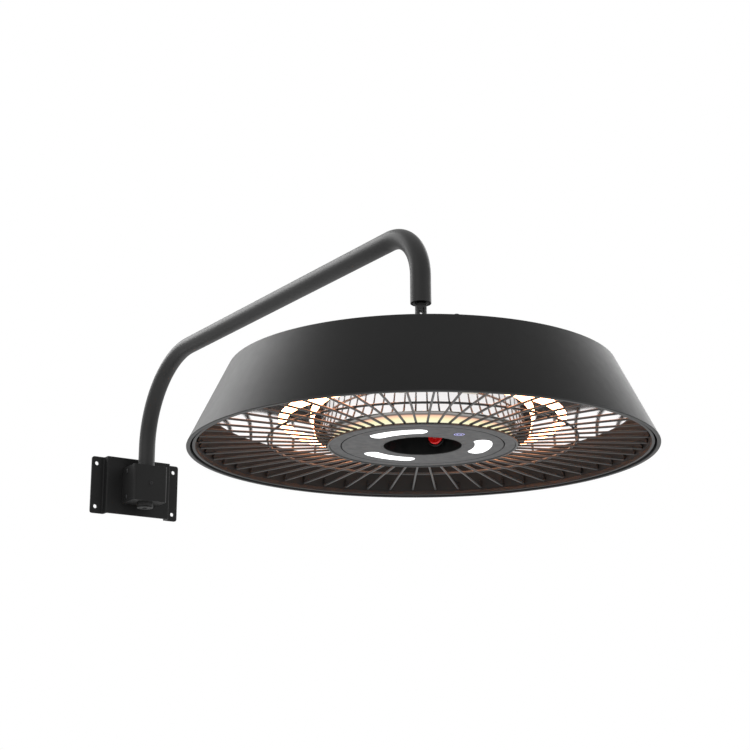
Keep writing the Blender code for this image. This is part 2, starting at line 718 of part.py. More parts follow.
def make_hanger_tang():
    """Flat tang with an eye, on the round flange that carries the head."""
    foot = RIM_LEVEL + COVER_TOP + SEAT_GAP
    half = TANG_WIDTH / 2
    crown = TANG_TOP - half
    outline = [(half, foot + TANG_FLANGE / 2)]
    for step in range(TANG_CROWN_STEPS + 1):
        turn = math.pi * step / TANG_CROWN_STEPS
        outline.append((half * math.cos(turn), crown + half * math.sin(turn)))
    outline.append((-half, foot + TANG_FLANGE / 2))
    side_on = NECK @ Matrix.Rotation(math.radians(90), 4, "Z") @ Matrix.Rotation(math.radians(90), 4, "X")
    tang = plate("hanger_tang", [outline], -TANG_THICKNESS / 2, TANG_THICKNESS / 2, "matt_black", side_on)
    flange = cylinder("tang_flange", TANG_FLANGE_RADIUS, foot, foot + TANG_FLANGE, "matt_black",
                      NECK, HUB_SEGMENTS)
    fuse(tang, flange)
    pin_matrix = NECK @ along((0, 0, PIN_HEIGHT), (1, 0, 0))
    eye_matrix = NECK @ along((0, 0, TANG_EYE_HEIGHT), (0, 1, 0))
    cut(tang, cylinder("tang_pin_hole", PIN_RADIUS + SEAT_GAP, -TANG_WIDTH, TANG_WIDTH,
                       "matt_black", pin_matrix),
        cylinder("tang_eye", TANG_EYE_RADIUS, -TANG_WIDTH, TANG_WIDTH, "matt_black", eye_matrix))


def shade_radius(height):
    """Return the shade's outer radius at a height above the rim."""
    return RIM_RADIUS + SHADE_LEAN * height


def screw_angle(index):
    """Return the angle of a top screw, in the middle of one of the shade's facets."""
    return math.tau * (index + 0.5) / SCREW_COUNT + math.pi / BIG_SEGMENTS


def make_shade():
    """Spun cone with a hem round its rim and a flange turned in at its top."""
    under = SHADE_TOP - SHADE_WALL
    profile = [(RIM_RADIUS, 0), (SHADE_TOP_RADIUS, SHADE_TOP),
               (SHADE_TOP_RADIUS - TOP_FLANGE, SHADE_TOP), (SHADE_TOP_RADIUS - TOP_FLANGE, under),
               (shade_radius(under) - SHADE_WALL, under),
               (shade_radius(HEM_HEIGHT) - SHADE_WALL, HEM_HEIGHT),
               (RIM_RADIUS - HEM_WIDTH, HEM_HEIGHT), (RIM_RADIUS - HEM_WIDTH, 0)]
    shade = turned("shade", profile, "matt_black", HEAD, BIG_SEGMENTS)
    for index in range(SCREW_COUNT):
        place = on_circle(SCREW_ORBIT, screw_angle(index), SHADE_TOP)
        cut(shade, cylinder("shade_screw_hole", SCREW_RADIUS + SEAT_GAP, -2 * SHADE_WALL, SHADE_WALL,
                            "matt_black", HEAD @ Matrix.Translation(place), SCREW_SEGMENTS))


def make_liner():
    """Brown-black wall inside the shade, with the bright lip round the mouth."""
    foot, top = LINER_FOOT_RADIUS, LINER_TOP_RADIUS
    lip_top = LIP_LEVEL + LIP_HEIGHT
    seat = shade_radius(LINER_HEIGHT) - SHADE_WALL - 2 * SEAT_GAP
    profile = [(foot + LIP_WIDTH, LIP_LEVEL), (foot + LIP_WIDTH, lip_top),
               (foot + LINER_WALL, lip_top + LINER_WALL),
               (top + LINER_WALL, LINER_HEIGHT - LINER_WALL), (seat, LINER_HEIGHT - LINER_WALL),
               (seat, LINER_HEIGHT), (top, LINER_HEIGHT), (foot, lip_top), (foot + LINER_WALL, LIP_LEVEL)]
    turned("liner", profile, "liner_brown", HEAD, BIG_SEGMENTS)


def reflector_profile():
    """Return the bright underside of the dished ceiling as points from the liner to the hub."""
    outer = LINER_TOP_RADIUS + LINER_WALL
    inner = CONE_TOP_RADIUS
    low = LINER_HEIGHT + SEAT_GAP
    high = CONE_TOP_LEVEL + CONE_WALL + SEAT_GAP
    points = []
    for step in range(REFLECTOR_STEPS + 1):
        share = step / REFLECTOR_STEPS
        rise = (high - low) * (1 - (1 - share) ** REFLECTOR_CURVE)
        points.append((outer + (inner - outer) * share, low + rise))
    return points


def make_reflector():
    """Polished dish over the lamps, resting on the liner and on the hub cone's flange."""
    under = reflector_profile()
    over = [(radius, height + REFLECTOR_WALL) for radius, height in reversed(under)]
    inner = HOUSING_RADIUS + SEAT_GAP
    flange = [(inner, under[-1][1]), (inner, over[0][1])]
    turned("reflector", under + flange + over, "reflector", HEAD)


def make_hub_cone():
    """Mirror cone round the hub, hung from a flange on the housing."""
    inner = HOUSING_RADIUS + SEAT_GAP
    slant = CONE_WALL
    profile = [(CONE_FOOT_RADIUS, CONE_FOOT_LEVEL), (CONE_TOP_RADIUS, CONE_TOP_LEVEL),
               (CONE_TOP_RADIUS, CONE_TOP_LEVEL + CONE_WALL), (inner, CONE_TOP_LEVEL + CONE_WALL),
               (inner, CONE_TOP_LEVEL), (CONE_TOP_RADIUS - 2 * slant, CONE_TOP_LEVEL),
               (CONE_FOOT_RADIUS - slant, CONE_FOOT_LEVEL)]
    turned("hub_cone", profile, "reflector", HEAD)


def make_hub_housing():
    """Can that holds the hub's works, open below and with a cable hole on top."""
    inner, foot, top = HOUSING_RADIUS - HOUSING_WALL, HOUSING_FOOT, HOUSING_TOP
    hole = GLAND_BORE
    profile = [(HOUSING_RADIUS, foot), (HOUSING_RADIUS, top), (hole, top), (hole, top - HOUSING_WALL),
               (inner, top - HOUSING_WALL), (inner, foot)]
    turned("hub_housing", profile, "matt_black", HEAD)
    seat = CONE_TOP_LEVEL - SEAT_GAP
    turned("light_ring", [(DIFFUSER_INNER, foot), (DIFFUSER_OUTER, foot), (DIFFUSER_OUTER, seat),
                          (DIFFUSER_INNER, seat)], "diffuser", HEAD)


def make_hub_face():
    """Outer ring, panel with lens slots and key hole, and the recess cup."""
    low = DISC_LEVEL
    inner = HUB_RADIUS - HUB_RING_WIDTH
    ring_top = low + HUB_RING_SHEET
    turned("hub_ring", [(HUB_RADIUS, low), (HUB_RADIUS, ring_top), (inner + HUB_RING_SHEET, ring_top),
                        (inner + HUB_RING_SHEET, low + HUB_RING_UPSTAND), (inner, low + HUB_RING_UPSTAND),
                        (inner, low)], "hub_black", HEAD)
    outlines = [circle(inner - PANEL_GROOVE, HUB_SEGMENTS),
                circle(RECESS_RADIUS + RECESS_WALL + SEAT_GAP, HUB_SEGMENTS)]
    grow = 2 * SEAT_GAP
    for middle in lens_angles():
        outlines.append(arc_slot(LENS_RADIUS, LENS_WIDTH + grow,
                                 LENS_HALF_ANGLE + SEAT_GAP / LENS_RADIUS, middle))
    key_x, key_y, _ = on_circle(KEY_ORBIT, KEY_ANGLE)
    outlines.append(circle(KEY_RADIUS + SEAT_GAP, SMALL_SEGMENTS, (key_x, key_y)))
    plate("hub_panel", outlines, low, low + PANEL_THICKNESS, "hub_black", HEAD)
    wall, top = RECESS_RADIUS + RECESS_WALL, low + RECESS_DEPTH
    cup = turned("recess_cup", [(RECESS_RADIUS, low), (wall, low), (wall, top + RECESS_WALL),
                                (0, top + RECESS_WALL), (0, top), (RECESS_RADIUS, top)],
                 "recess_black", HEAD)
    cut(cup, cylinder("cup_hole", SLEEVE_RADIUS + SEAT_GAP, BUTTON_FACE, wall + RECESS_WALL,
                      "recess_black", button_matrix(), FIT_SEGMENTS))


def lens_angles():
    return [math.tau * index / LENS_COUNT for index in range(LENS_COUNT)]


def button_matrix():
    """Return the frame of the button: local Z runs out from the head's axis."""
    return HEAD @ along((0, 0, BUTTON_LEVEL), on_circle(1, BUTTON_ANGLE))


def make_lights():
    """Three arc lenses, the LED board behind them and the touch key."""
    for index, middle in enumerate(lens_angles()):
        plate(f"led_lens_{index + 1}", [arc_slot(LENS_RADIUS, LENS_WIDTH, LENS_HALF_ANGLE, middle)],
              DISC_LEVEL, DISC_LEVEL + LENS_THICKNESS, "lens", HEAD)
    plate("led_board", [circle(LED_BOARD_OUTER, HUB_SEGMENTS), circle(LED_BOARD_INNER, HUB_SEGMENTS)],
          LED_BOARD_LEVEL, LED_BOARD_LEVEL + BOARD_THICKNESS, "circuit_board", HEAD)
    place = on_circle(KEY_ORBIT, KEY_ANGLE, DISC_LEVEL)
    cylinder("touch_key", KEY_RADIUS, 0, LENS_THICKNESS, "key_blue", HEAD @ Matrix.Translation(place))


def make_button():
    """Push button with its collar through the recess wall and the switch behind."""
    frame = button_matrix()
    sleeve_end = COLLAR_FACE + COLLAR_SLEEVE
    flange_back = COLLAR_FACE + COLLAR_FLANGE_DEPTH
    flange = SLEEVE_RADIUS + COLLAR_FLANGE
    turned("switch_collar", [(SLEEVE_BORE, COLLAR_FACE), (flange, COLLAR_FACE), (flange, flange_back),
                             (SLEEVE_RADIUS, flange_back), (SLEEVE_RADIUS, sleeve_end),
                             (SLEEVE_BORE, sleeve_end)], "recess_black", frame, FIT_SEGMENTS)
    cap_back = BUTTON_FACE + BUTTON_CAP
    stem_end = cap_back + BUTTON_STEM
    turned("power_button", [(0, BUTTON_FACE), (BUTTON_RADIUS - BUTTON_EDGE, BUTTON_FACE),
                            (BUTTON_RADIUS, BUTTON_FACE + BUTTON_EDGE), (BUTTON_RADIUS, cap_back),
                            (BUTTON_STEM_RADIUS, cap_back), (BUTTON_STEM_RADIUS, stem_end), (0, stem_end)],
           "button_red", frame, FIT_SEGMENTS)
    half = SWITCH_SIZE / 2
    body = box("switch_body", (-half, -half, SWITCH_FACE), (half, half, SWITCH_FACE + SWITCH_DEPTH),
               "nylon", frame)
    cut(body, cylinder("switch_bore", BUTTON_STEM_RADIUS + BUTTON_CLEARANCE, SWITCH_FACE - SWITCH_DEPTH,
                       stem_end + BUTTON_TRAVEL + BUTTON_CLEARANCE, "nylon", frame))


def wire_points(angle):
    """Return one grille wire's centreline, from the hub's ring to its turned-up end."""
    rim = LINER_FOOT_RADIUS - 2 * WIRE_RADIUS - SEAT_GAP
    lean = (LINER_FOOT_RADIUS - LINER_TOP_RADIUS) / (LINER_HEIGHT - LIP_LEVEL - LIP_HEIGHT)
    stations = [(GRILLE_HUB_RADIUS, GRILLE_HUB_LEVEL), (GRILLE_RING_RADIUS, GRILLE_MID_LEVEL),
                (rim, GRILLE_RIM_LEVEL),
                (rim - lean * GRILLE_END_RISE, GRILLE_RIM_LEVEL + GRILLE_END_RISE)]
    return [on_circle(radius, angle, level) for radius, level in stations]


def make_grille():
    """Radial wires with turned-up ends, welded to a ring at the hub and one at mid-span."""
    upper = 2 * WIRE_RADIUS - WELD_DEPTH
    rings = ((GRILLE_HUB_RADIUS, GRILLE_HUB_LEVEL + upper), (GRILLE_RING_RADIUS, GRILLE_MID_LEVEL + upper))
    grille = None
    for index, (radius, level) in enumerate(rings):
        points = [on_circle(radius, math.tau * (step + 0.5) / WIRE_COUNT, level)
                  for step in range(WIRE_COUNT)]
        name = "guard_grille" if index == 0 else "grille_ring"
        ring = rod(name, points, WIRE_RADIUS, "wire_black", HEAD, WIRE_SIDES, closed=True)
        if grille is None:
            grille = ring
        else:
            fuse(grille, ring)
    wires = [rod("grille_wire", wire_points(math.tau * index / WIRE_COUNT), WIRE_RADIUS, "wire_black",
                 HEAD, WIRE_SIDES) for index in range(WIRE_COUNT)]
    fuse(grille, join(wires))


def join(pieces):
    """Join separate bodies into one object, to be used as one cutter."""
    work = bmesh.new()
    for piece in pieces:
        work.from_mesh(piece.data)
    mesh = bpy.data.meshes.new("joined")
    work.to_mesh(mesh)
    work.free()
    name, matrix = pieces[0].name, pieces[0].matrix_world.copy()
    material = pieces[0].data.materials[0].name
    for piece in pieces:
        bpy.data.objects.remove(piece, do_unlink=True)
    return add_object(name, mesh, material, matrix)


def ceiling_level(radius):
    """Return the height of the reflector's underside at a radius."""
    points = reflector_profile()
    for (outer, high), (inner, low) in zip(points, points[1:]):
        if inner <= radius <= outer:
            return low + (high - low) * (radius - inner) / (outer - inner)
    return points[0][1]


def make_lamps():
    """Two curved quartz lamps with a ceramic holder at each end."""
    half = LAMP_HALF_ANGLE
    low = LAMP_LEVEL - HOLDER_BELOW
    ceiling = min(ceiling_level(LAMP_ORBIT + side * HOLDER_WIDTH / 2) for side in (-1, 1))
    high = ceiling * math.cos(math.pi / BIG_SEGMENTS) - SEAT_GAP
    for index in range(LAMP_COUNT):
        middle = math.tau * index / LAMP_COUNT
        angles = [middle - half + 2 * half * step / LAMP_STEPS for step in range(LAMP_STEPS + 1)]
        rod(f"heating_lamp_{index + 1}", [on_circle(LAMP_ORBIT, a, LAMP_LEVEL) for a in angles],
            LAMP_RADIUS, "quartz", HEAD, LAMP_SIDES)
        for side, side_name in ((-1, "a"), (1, "b")):
            end = middle + side * (half + LAMP_END_GAP / LAMP_ORBIT)
            centre = HEAD @ Matrix.Rotation(end, 4, "Z") @ Matrix.Translation((LAMP_ORBIT, 0, 0))
            length = (0, HOLDER_LENGTH) if side > 0 else (-HOLDER_LENGTH, 0)
            box(f"lamp_holder_{index + 1}{side_name}", (-HOLDER_WIDTH / 2, length[0], low),
                (HOLDER_WIDTH / 2, length[1], high), "ceramic", centre, HOLDER_EDGE)


def make_works():
    """Control board above the recess, and the terminal block under the top cap."""
    base = DISC_LEVEL + RECESS_DEPTH + RECESS_WALL + SEAT_GAP
    half_x, half_y = CONTROL_BOARD_LENGTH / 2, CONTROL_BOARD_WIDTH / 2
    board = box("control_board", (-half_x, -half_y, base), (half_x, half_y, base + BOARD_THICKNESS),
                "circuit_board", HEAD)
    low = base + BOARD_THICKNESS / 2
    high = base + BOARD_THICKNESS + RELAY_HEIGHT
    for index in range(RELAY_COUNT):
        x = (index - (RELAY_COUNT - 1) / 2) * RELAY_PITCH
        relay = box("relay", (x - RELAY_SIZE / 2, -RELAY_SIZE / 2, low),
                    (x + RELAY_SIZE / 2, RELAY_SIZE / 2, high), "circuit_board", HEAD)
        fuse(board, relay)
    seat = COVER_TOP + SEAT_GAP
    box("terminal_block", (-TERMINAL_LENGTH / 2, TERMINAL_ORBIT - TERMINAL_WIDTH / 2, seat),
        (TERMINAL_LENGTH / 2, TERMINAL_ORBIT + TERMINAL_WIDTH / 2, seat + TERMINAL_HEIGHT),
        "nylon", HEAD, TERMINAL_EDGE)


def make_top():
    """Vented top cover, heat shield, housing posts, top cap and the cover's screws."""
    edge = shade_radius(COVER_TOP) - SHADE_WALL - 2 * SEAT_GAP
    outlines = [circle(edge, BIG_SEGMENTS)]
    for index in range(VENT_COUNT):
        outlines.append(vent_outline(math.tau * (index + 0.5) / VENT_COUNT))
    for index in range(SCREW_COUNT):
        middle = on_circle(SCREW_ORBIT, screw_angle(index))[:2]
        outlines.append(circle(SCREW_RADIUS + SEAT_GAP, SCREW_SEGMENTS, middle))
    plate("top_cover", outlines, COVER_BOTTOM, COVER_TOP, "matt_black", HEAD)
    for index in range(SCREW_COUNT):
        place = on_circle(SCREW_ORBIT, screw_angle(index), SHADE_TOP + SEAT_GAP)
        screw(f"top_screw_{index + 1}", SCREW_RADIUS, SCREW_LENGTH, SCREW_HEAD_RADIUS, SCREW_HEAD,
              "black_screw", HEAD @ Matrix.Translation(place))
    shield = HOUSING_TOP + SEAT_GAP
    over = shield + SHIELD_SHEET
    inner = SHIELD_RADIUS - SHIELD_SHEET
    pan = turned("heat_shield", [(SHIELD_HOLE, shield), (SHIELD_RADIUS, shield),
                                 (SHIELD_RADIUS, shield + SHIELD_LIP), (inner, shield + SHIELD_LIP),
                                 (inner, over), (SHIELD_HOLE, over)], "steel", HEAD)
    for index in range(POST_COUNT):
        post = HEAD @ Matrix.Translation(on_circle(POST_ORBIT, math.tau * (index + 0.5) / POST_COUNT))
        cylinder(f"housing_post_{index + 1}", POST_RADIUS, HOUSING_TOP + SEAT_GAP,
                 COVER_BOTTOM - SEAT_GAP, "steel", post, SMALL_SEGMENTS)
        cut(pan, cylinder("shield_hole", POST_RADIUS + SEAT_GAP, HOUSING_TOP, COVER_BOTTOM, "steel",
                          post, SMALL_SEGMENTS))
    make_top_cap()


def vent_outline(angle):
    """Return a radial vent slot with round ends."""
    half, end = VENT_LENGTH / 2, VENT_WIDTH / 2
    turns = [math.pi * (step / VENT_END_STEPS - 0.5) for step in range(VENT_END_STEPS + 1)]
    local = [(VENT_ORBIT + half + end * math.cos(t), end * math.sin(t)) for t in turns]
    local += [(VENT_ORBIT - half - end * math.cos(t), -end * math.sin(t)) for t in turns]
    turn = Matrix.Rotation(angle, 2)
    return [tuple(turn @ Vector(point)) for point in local]


def make_top_cap():
    """Domed cap over the hanger's flange, with a hole for the tang."""
    foot = COVER_TOP + SEAT_GAP
    hole = math.hypot(TANG_WIDTH, TANG_THICKNESS) / 2 + SEAT_GAP
    outer = []
    for step in range(CAP_STEPS + 1):
        share = step / CAP_STEPS
        radius = CAP_FOOT_RADIUS + (CAP_NECK_RADIUS - CAP_FOOT_RADIUS) * share
        outer.append((radius, foot + CAP_HEIGHT * math.sin(math.radians(90) * share)))
    inner = [(radius - CAP_WALL, height - CAP_WALL) for radius, height in reversed(outer)]
    inner[-1] = (CAP_FOOT_RADIUS - CAP_WALL, foot)
    top = outer[-1][1]
    turned("top_cap", outer + [(hole, top), (hole, top - CAP_WALL)] + inner, "matt_black", HEAD,
           FIT_SEGMENTS)


make_wall_plate()
make_bracket()
make_pivot_block()
make_bushes()
make_bracket_screws()
make_arm_tube()
make_arm_fittings()
make_neck()
make_hanger_tang()
make_shade()
make_liner()
make_reflector()
make_hub_cone()
make_hub_housing()
make_hub_face()
make_lights()
make_button()
make_grille()
make_lamps()
make_works()
make_top()
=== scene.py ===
"""Looks of the wall-mounted pendant heater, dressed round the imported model.

Metres, +Z up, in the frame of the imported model: the wall is the plane y = 0 and -Y points out
of it. Profiles of the head are (radius, height) pairs, with heights above the shade's rim.
"""

import json
import math

import bmesh
import bpy
from mathutils import Matrix, Vector


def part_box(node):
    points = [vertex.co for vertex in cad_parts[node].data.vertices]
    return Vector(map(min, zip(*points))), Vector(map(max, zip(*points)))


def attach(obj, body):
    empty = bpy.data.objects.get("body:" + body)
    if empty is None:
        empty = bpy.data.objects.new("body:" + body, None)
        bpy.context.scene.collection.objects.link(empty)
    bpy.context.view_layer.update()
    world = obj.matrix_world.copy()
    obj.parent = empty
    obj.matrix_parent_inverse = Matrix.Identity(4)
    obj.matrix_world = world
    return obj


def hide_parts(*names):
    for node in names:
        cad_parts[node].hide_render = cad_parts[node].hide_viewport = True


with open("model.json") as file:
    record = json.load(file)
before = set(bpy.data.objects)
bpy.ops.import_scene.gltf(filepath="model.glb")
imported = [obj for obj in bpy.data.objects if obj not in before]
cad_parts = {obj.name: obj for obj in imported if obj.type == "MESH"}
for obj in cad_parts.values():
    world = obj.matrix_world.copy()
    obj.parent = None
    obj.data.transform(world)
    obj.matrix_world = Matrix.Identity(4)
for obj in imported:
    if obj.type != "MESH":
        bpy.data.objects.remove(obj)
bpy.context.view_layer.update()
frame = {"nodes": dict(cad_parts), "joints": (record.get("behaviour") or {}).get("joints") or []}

# Camera, from the photograph's perspective
CAMERA_PLACE = Vector((-1.1433, -2.4318, -0.5392))
CAMERA_HEADING = Vector((0.5617, 0.8274, 0.0))
CAMERA_PITCH = math.radians(15.67)
CAMERA_ROLL = math.radians(-0.21)
CAMERA_LENS = 74.47
SENSOR_WIDTH = 36.0

# How finely curved pieces are divided
FINE = 256
MEDIUM = 128
SMALL = 48
TUBE_RING = 64
SHARP_ANGLE = math.radians(35)
BEVEL_ANGLE = math.radians(40)
WELD_DISTANCE = 0.000002

# Gap between pieces that sit on each other, and the ease of a sheet's edges
SEAT_GAP = 0.0003
EDGE_EASE = 0.0003

# Shade
RIM_RADIUS = 0.3025
SHADE_TOP_RADIUS = 0.2507
SHADE_HEIGHT = 0.1061
SHADE_WALL = 0.0015
HEM_WIDTH = 0.0055
HEM_HEIGHT = 0.008
HEM_LINE = 0.0016
TOP_FLANGE = 0.0125

# Liner and reflector
LIP_RADIUS = 0.2915
LIP_WIDTH = 0.003
LIP_LEVEL = 0.002
LIP_HEIGHT = 0.0045
LIP_STEP = 0.0011
LINER_HEIGHT = 0.050
LINER_TOP_RADIUS = 0.27149
LINER_FLANGE = 0.0048
LINER_WALL = 0.0012
REFLECTOR_CURVE = 2.1
REFLECTOR_WALL = 0.0010
CEILING_OUTER_LEVEL = 0.0503
CEILING_INNER_LEVEL = 0.0825

# Hub
DISC_LEVEL = 0.0079
HUB_RADIUS = 0.1194
HUB_RING_INNER = 0.1055
HUB_RING_SHEET = 0.0011
HUB_RING_UPSTAND = 0.0045
PANEL_RADIUS = 0.1041
PANEL_THICKNESS = 0.0025
RECESS_RADIUS = 0.0503
RECESS_DEPTH = 0.0425
RECESS_WALL = 0.002
HOUSING_RADIUS = 0.112
CONE_FOOT = (0.137, 0.020)
CONE_TOP = (0.162, 0.081)
CONE_WALL = 0.0012
GLOW_INNER = 0.1135
GLOW_OUTER = 0.1157
GLOW_FOOT = 0.0093
GLOW_TOP = 0.0807
GLOW_EDGE = 0.0255
# Emission colours up the band: cream to rose is the ring's own glow; the dark steps at 0.73 and 0.95 are
# painted shade, and the grey at 0.80 and 0.90 is a painted lit ledge.
GLOW_AND_PAINTED_LEDGE_STEPS = (
    (0.0, (1.0, 1.0, 0.74)), (0.36, (1.0, 0.95, 0.58)), (0.50, (1.0, 0.78, 0.49)),
    (0.62, (0.95, 0.60, 0.42)), (0.69, (0.46, 0.27, 0.21)), (0.73, (0.10, 0.09, 0.08)),
    (0.80, (0.24, 0.23, 0.22)), (0.90, (0.38, 0.37, 0.36)), (0.95, (0.10, 0.09, 0.08)),
    (1.0, (0.02, 0.02, 0.02)))

# Lenses and touch key
LENS_ORBIT = 0.0785
LENS_WIDTH = 0.023
LENS_HALF_ANGLE = math.radians(29.0)
LENS_THICKNESS = 0.0045
LENS_EDGE = 0.0021
LENS_COUNT = 3
KEY_RADIUS = 0.0075
KEY_ORBIT = 0.0774
KEY_ANGLE = math.radians(-60.0)
KEY_HALO_OUTER = 0.0066
KEY_HALO_INNER = 0.0058
KEY_MARK_RADIUS = 0.0030
KEY_MARK_WIDTH = 0.0009
KEY_MARK_HEIGHT = 0.0002

# Push button, along its own axis from the head's middle
BUTTON_ANGLE = math.radians(60.0)
BUTTON_LEVEL = 0.0295
BUTTON_RADIUS = 0.0098
BUTTON_FACE = 0.0405
BUTTON_BACK = 0.0520
BUTTON_STEM_RADIUS = 0.004
BUTTON_STEM_END = 0.063
COLLAR_BORE = 0.0103
COLLAR_SLEEVE_RADIUS = 0.0113
COLLAR_RADIUS = 0.0126
COLLAR_FACE = 0.0425
COLLAR_BACK = 0.0465
COLLAR_END = 0.0600
BUTTON_MARK_RADIUS = 0.0026
BUTTON_MARK_WIDTH = 0.0007
BUTTON_MARK_HEIGHT = 0.0003

# Guard
WIRE_RADIUS = 0.0015
WIRE_COUNT = 54
GUARD_HUB_RADIUS = 0.11775
GUARD_RING_RADIUS = 0.199
GUARD_RIM_RADIUS = 0.2887
GUARD_HUB_LEVEL = 0.0106
GUARD_RING_LEVEL = 0.0114
GUARD_RIM_LEVEL = 0.0092
GUARD_END_RISE = 0.010
GUARD_BEND = 0.002
WELD_DEPTH = 0.0004
GUARD_FOOT_RADIUS = 0.1212
WIRE_SIDES = 12
BEND_POINTS = 6

# Lamps
LAMP_ORBIT = 0.180
LAMP_LEVEL = 0.041
LAMP_RADIUS = 0.0055
LAMP_HALF_ANGLE = math.radians(74.0)
LAMP_COUNT = 2

# Top of the head
COVER_TOP = 0.1043
COVER_SHEET = 0.0015
COVER_RADIUS = 0.2495
VENT_COUNT = 12
VENT_ORBIT = 0.175
VENT_LENGTH = 0.040
VENT_WIDTH = 0.006
TOP_SCREW_ORBIT = 0.2445
TOP_SCREW_COUNT = 6
TOP_SCREW_FACETS = 54
TOP_SCREW_HOLE = 0.0023
CAP_HEIGHT = 0.046
CAP_FOOT_RADIUS = 0.092
CAP_NECK_RADIUS = 0.022
CAP_WALL = 0.002
CAP_HOLE = 0.0082

# Screws: radius and length of the shank, radius and height of the head
TOP_SCREW = (0.0020, 0.008, 0.0038, 0.0018)
SIDE_SCREW = (0.0022, 0.009, 0.0040, 0.0022)
CLAMP_SCREW = (0.0024, 0.0046, 0.0035, 0.0018)
CLAMP_HOLE = 0.0027

# Arm
TUBE_RADIUS = 0.01398
TUBE_WALL = 0.0015
TUBE_EDGE = 0.0004
AXIS_OFFSET = 0.045
ARM_HEIGHT = 0.2135
POST_BEND = 0.148
DROP_BEND = 0.070
POST_BOTTOM = -0.038
DROP_END = 0.104
POST_CAP_BORE = 0.0045
POST_CAP_STEM = 0.0115
POST_CAP_DEPTH = 0.014
POST_CAP_FLANGE = 0.002
PLUG_BORE = 0.0055
PLUG_RADIUS = 0.0119
PLUG_DEPTH = 0.026

# Bracket and plate
PLATE_SHEET = 0.003
PLATE_CORNER = 0.004
FLANGE_WIDTH = 0.0225
HOLE_INSET_X = 0.009
HOLE_INSET_Z = 0.0118
HOLE_RADIUS = 0.0035
BEND_RADIUS = 0.0022
BOX_WALL = 0.002
BOX_EDGE = 0.005

# Swivel and hanger, with levels above the wall plate's middle
FORK_BOTTOM = 0.0702
FORK_RADIUS = 0.0078
FORK_LIP = 0.0022
GROOVE_WIDTH = 0.0014
GROOVE_DEPTH = 0.0009
STEM_RADIUS = 0.0052
STEM_TOP = 0.1381
SLOT_HALF_WIDTH = 0.00375
SLOT_TOP = 0.097
PIN_LEVEL = 0.078
PIN_RADIUS = 0.0025
PIN_HOLE = 0.0028
PIN_HEAD_RADIUS = 0.0045
PIN_HEAD_END = -0.0101
PIN_HEAD_HEIGHT = 0.002
PIN_END = 0.0105
TANG_RADIUS = 0.007
TANG_CROWN = 0.0875
TANG_HALF_THICKNESS = 0.00345
TANG_FLANGE_RADIUS = 0.030
TANG_FLANGE_HEIGHT = 0.006
EYE_LEVEL = 0.0904
EYE_RADIUS = 0.0027
CUT_REACH = 0.02

# Stage: the floor's lift is what the camera sees above its lit colour
FLOOR_RADIUS = 14.0
FLOOR_LEVEL = -1.40
FLOOR_THICKNESS = 0.02
FLOOR_LIFT = 0.2
SOFT_LEVEL = 0.85
STUDIO_LAMPS = (  # name, place, size, power
    ("key_right", (2.2, -3.4, 0.8), 2.4, 6),
    ("key_left", (-3.3, -1.9, 1.2), 2.0, 14),
    ("rim_left", (-1.1, 2.4, 2.4), 2.4, 92),
    ("rim_right", (3.3, 0.6, 2.0), 2.4, 52),
    ("top", (0.2, -1.0, 3.4), 2.6, 5))


def middle(node):
    """Return the middle of a node's box."""
    low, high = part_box(node)
    return (low + high) / 2


# Frames of the head, the arm's post and the swivel
RIM_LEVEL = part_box("shade")[0].z
HEAD_MIDDLE = middle("hub_ring")
TILT_AXIS = next(item["axis"] for item in frame["joints"] if item["name"] == "head_tilt")
HEAD_YAW = math.atan2(TILT_AXIS[1], TILT_AXIS[0])
TURN = Matrix.Rotation(HEAD_YAW, 4, "Z")
HEAD = Matrix.Translation((HEAD_MIDDLE.x, HEAD_MIDDLE.y, RIM_LEVEL)) @ TURN
NECK = Matrix.Translation((HEAD_MIDDLE.x, HEAD_MIDDLE.y, 0)) @ TURN
POST = Matrix.Translation((0, -AXIS_OFFSET, 0))


def turns(count):
    """Return the angles of equal steps round a full turn."""
    return [math.tau * step / count for step in range(count)]


def on_circle(radius, angle, height=0.0):
    """Return a point on a circle about local Z."""
    return Vector((radius * math.cos(angle), radius * math.sin(angle), height))


def rounded(points, radii, closed=True, steps=6):
    """Round the corners of an outline of 2D or 3D points; a corner with radius 0 stays sharp."""
    corners = [Vector(point) for point in points]
    result = []
    for index, corner in enumerate(corners):
        radius = radii[index]
        at_end = not closed and index in (0, len(corners) - 1)
        if radius == 0 or at_end:
            result.append(corner)
            continue
        before = (corners[index - 1] - corner).normalized()
        after = (corners[(index + 1) % len(corners)] - corner).normalized()
        half = math.acos(max(-1.0, min(1.0, before.dot(after)))) / 2
        centre = corner + (before + after).normalized() * radius / math.sin(half)
        start = corner + before * radius / math.tan(half) - centre
        end = corner + after * radius / math.tan(half) - centre
        sweep = math.pi - 2 * half
        for step in range(steps + 1):
            share = step / steps
            result.append(centre + (start * math.sin((1 - share) * sweep) + end * math.sin(share * sweep))
                          / math.sin(sweep))
    return result


def add(name, mesh, material, matrix=Matrix.Identity(4), flat=False):
    """Add a mesh at a place, smooth but for its sharp edges; flat keeps large flat faces even."""
    mesh.name = name
    mesh.transform(matrix)
    mesh.materials.clear()
    mesh.materials.append(material)
    mesh.shade_smooth()
    mesh.set_sharp_from_angle(angle=SHARP_ANGLE)
    piece = bpy.data.objects.new(name, mesh)
    bpy.context.scene.collection.objects.link(piece)
    if flat:
        piece.modifiers.new("even", "WEIGHTED_NORMAL").keep_sharp = True
    return piece


def dress(piece, body, slot, *nodes):
    """Let a piece move with a body and stand for CAD nodes, which it hides; the slot is not used."""
    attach(piece, body)
    if nodes:
        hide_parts(*nodes)
    return piece


def mesh_of(work):
    """Turn a bmesh into a mesh with its faces turned outwards."""
    bmesh.ops.recalc_face_normals(work, faces=work.faces)
    mesh = bpy.data.meshes.new("mesh")
    work.to_mesh(mesh)
    work.free()
    return mesh


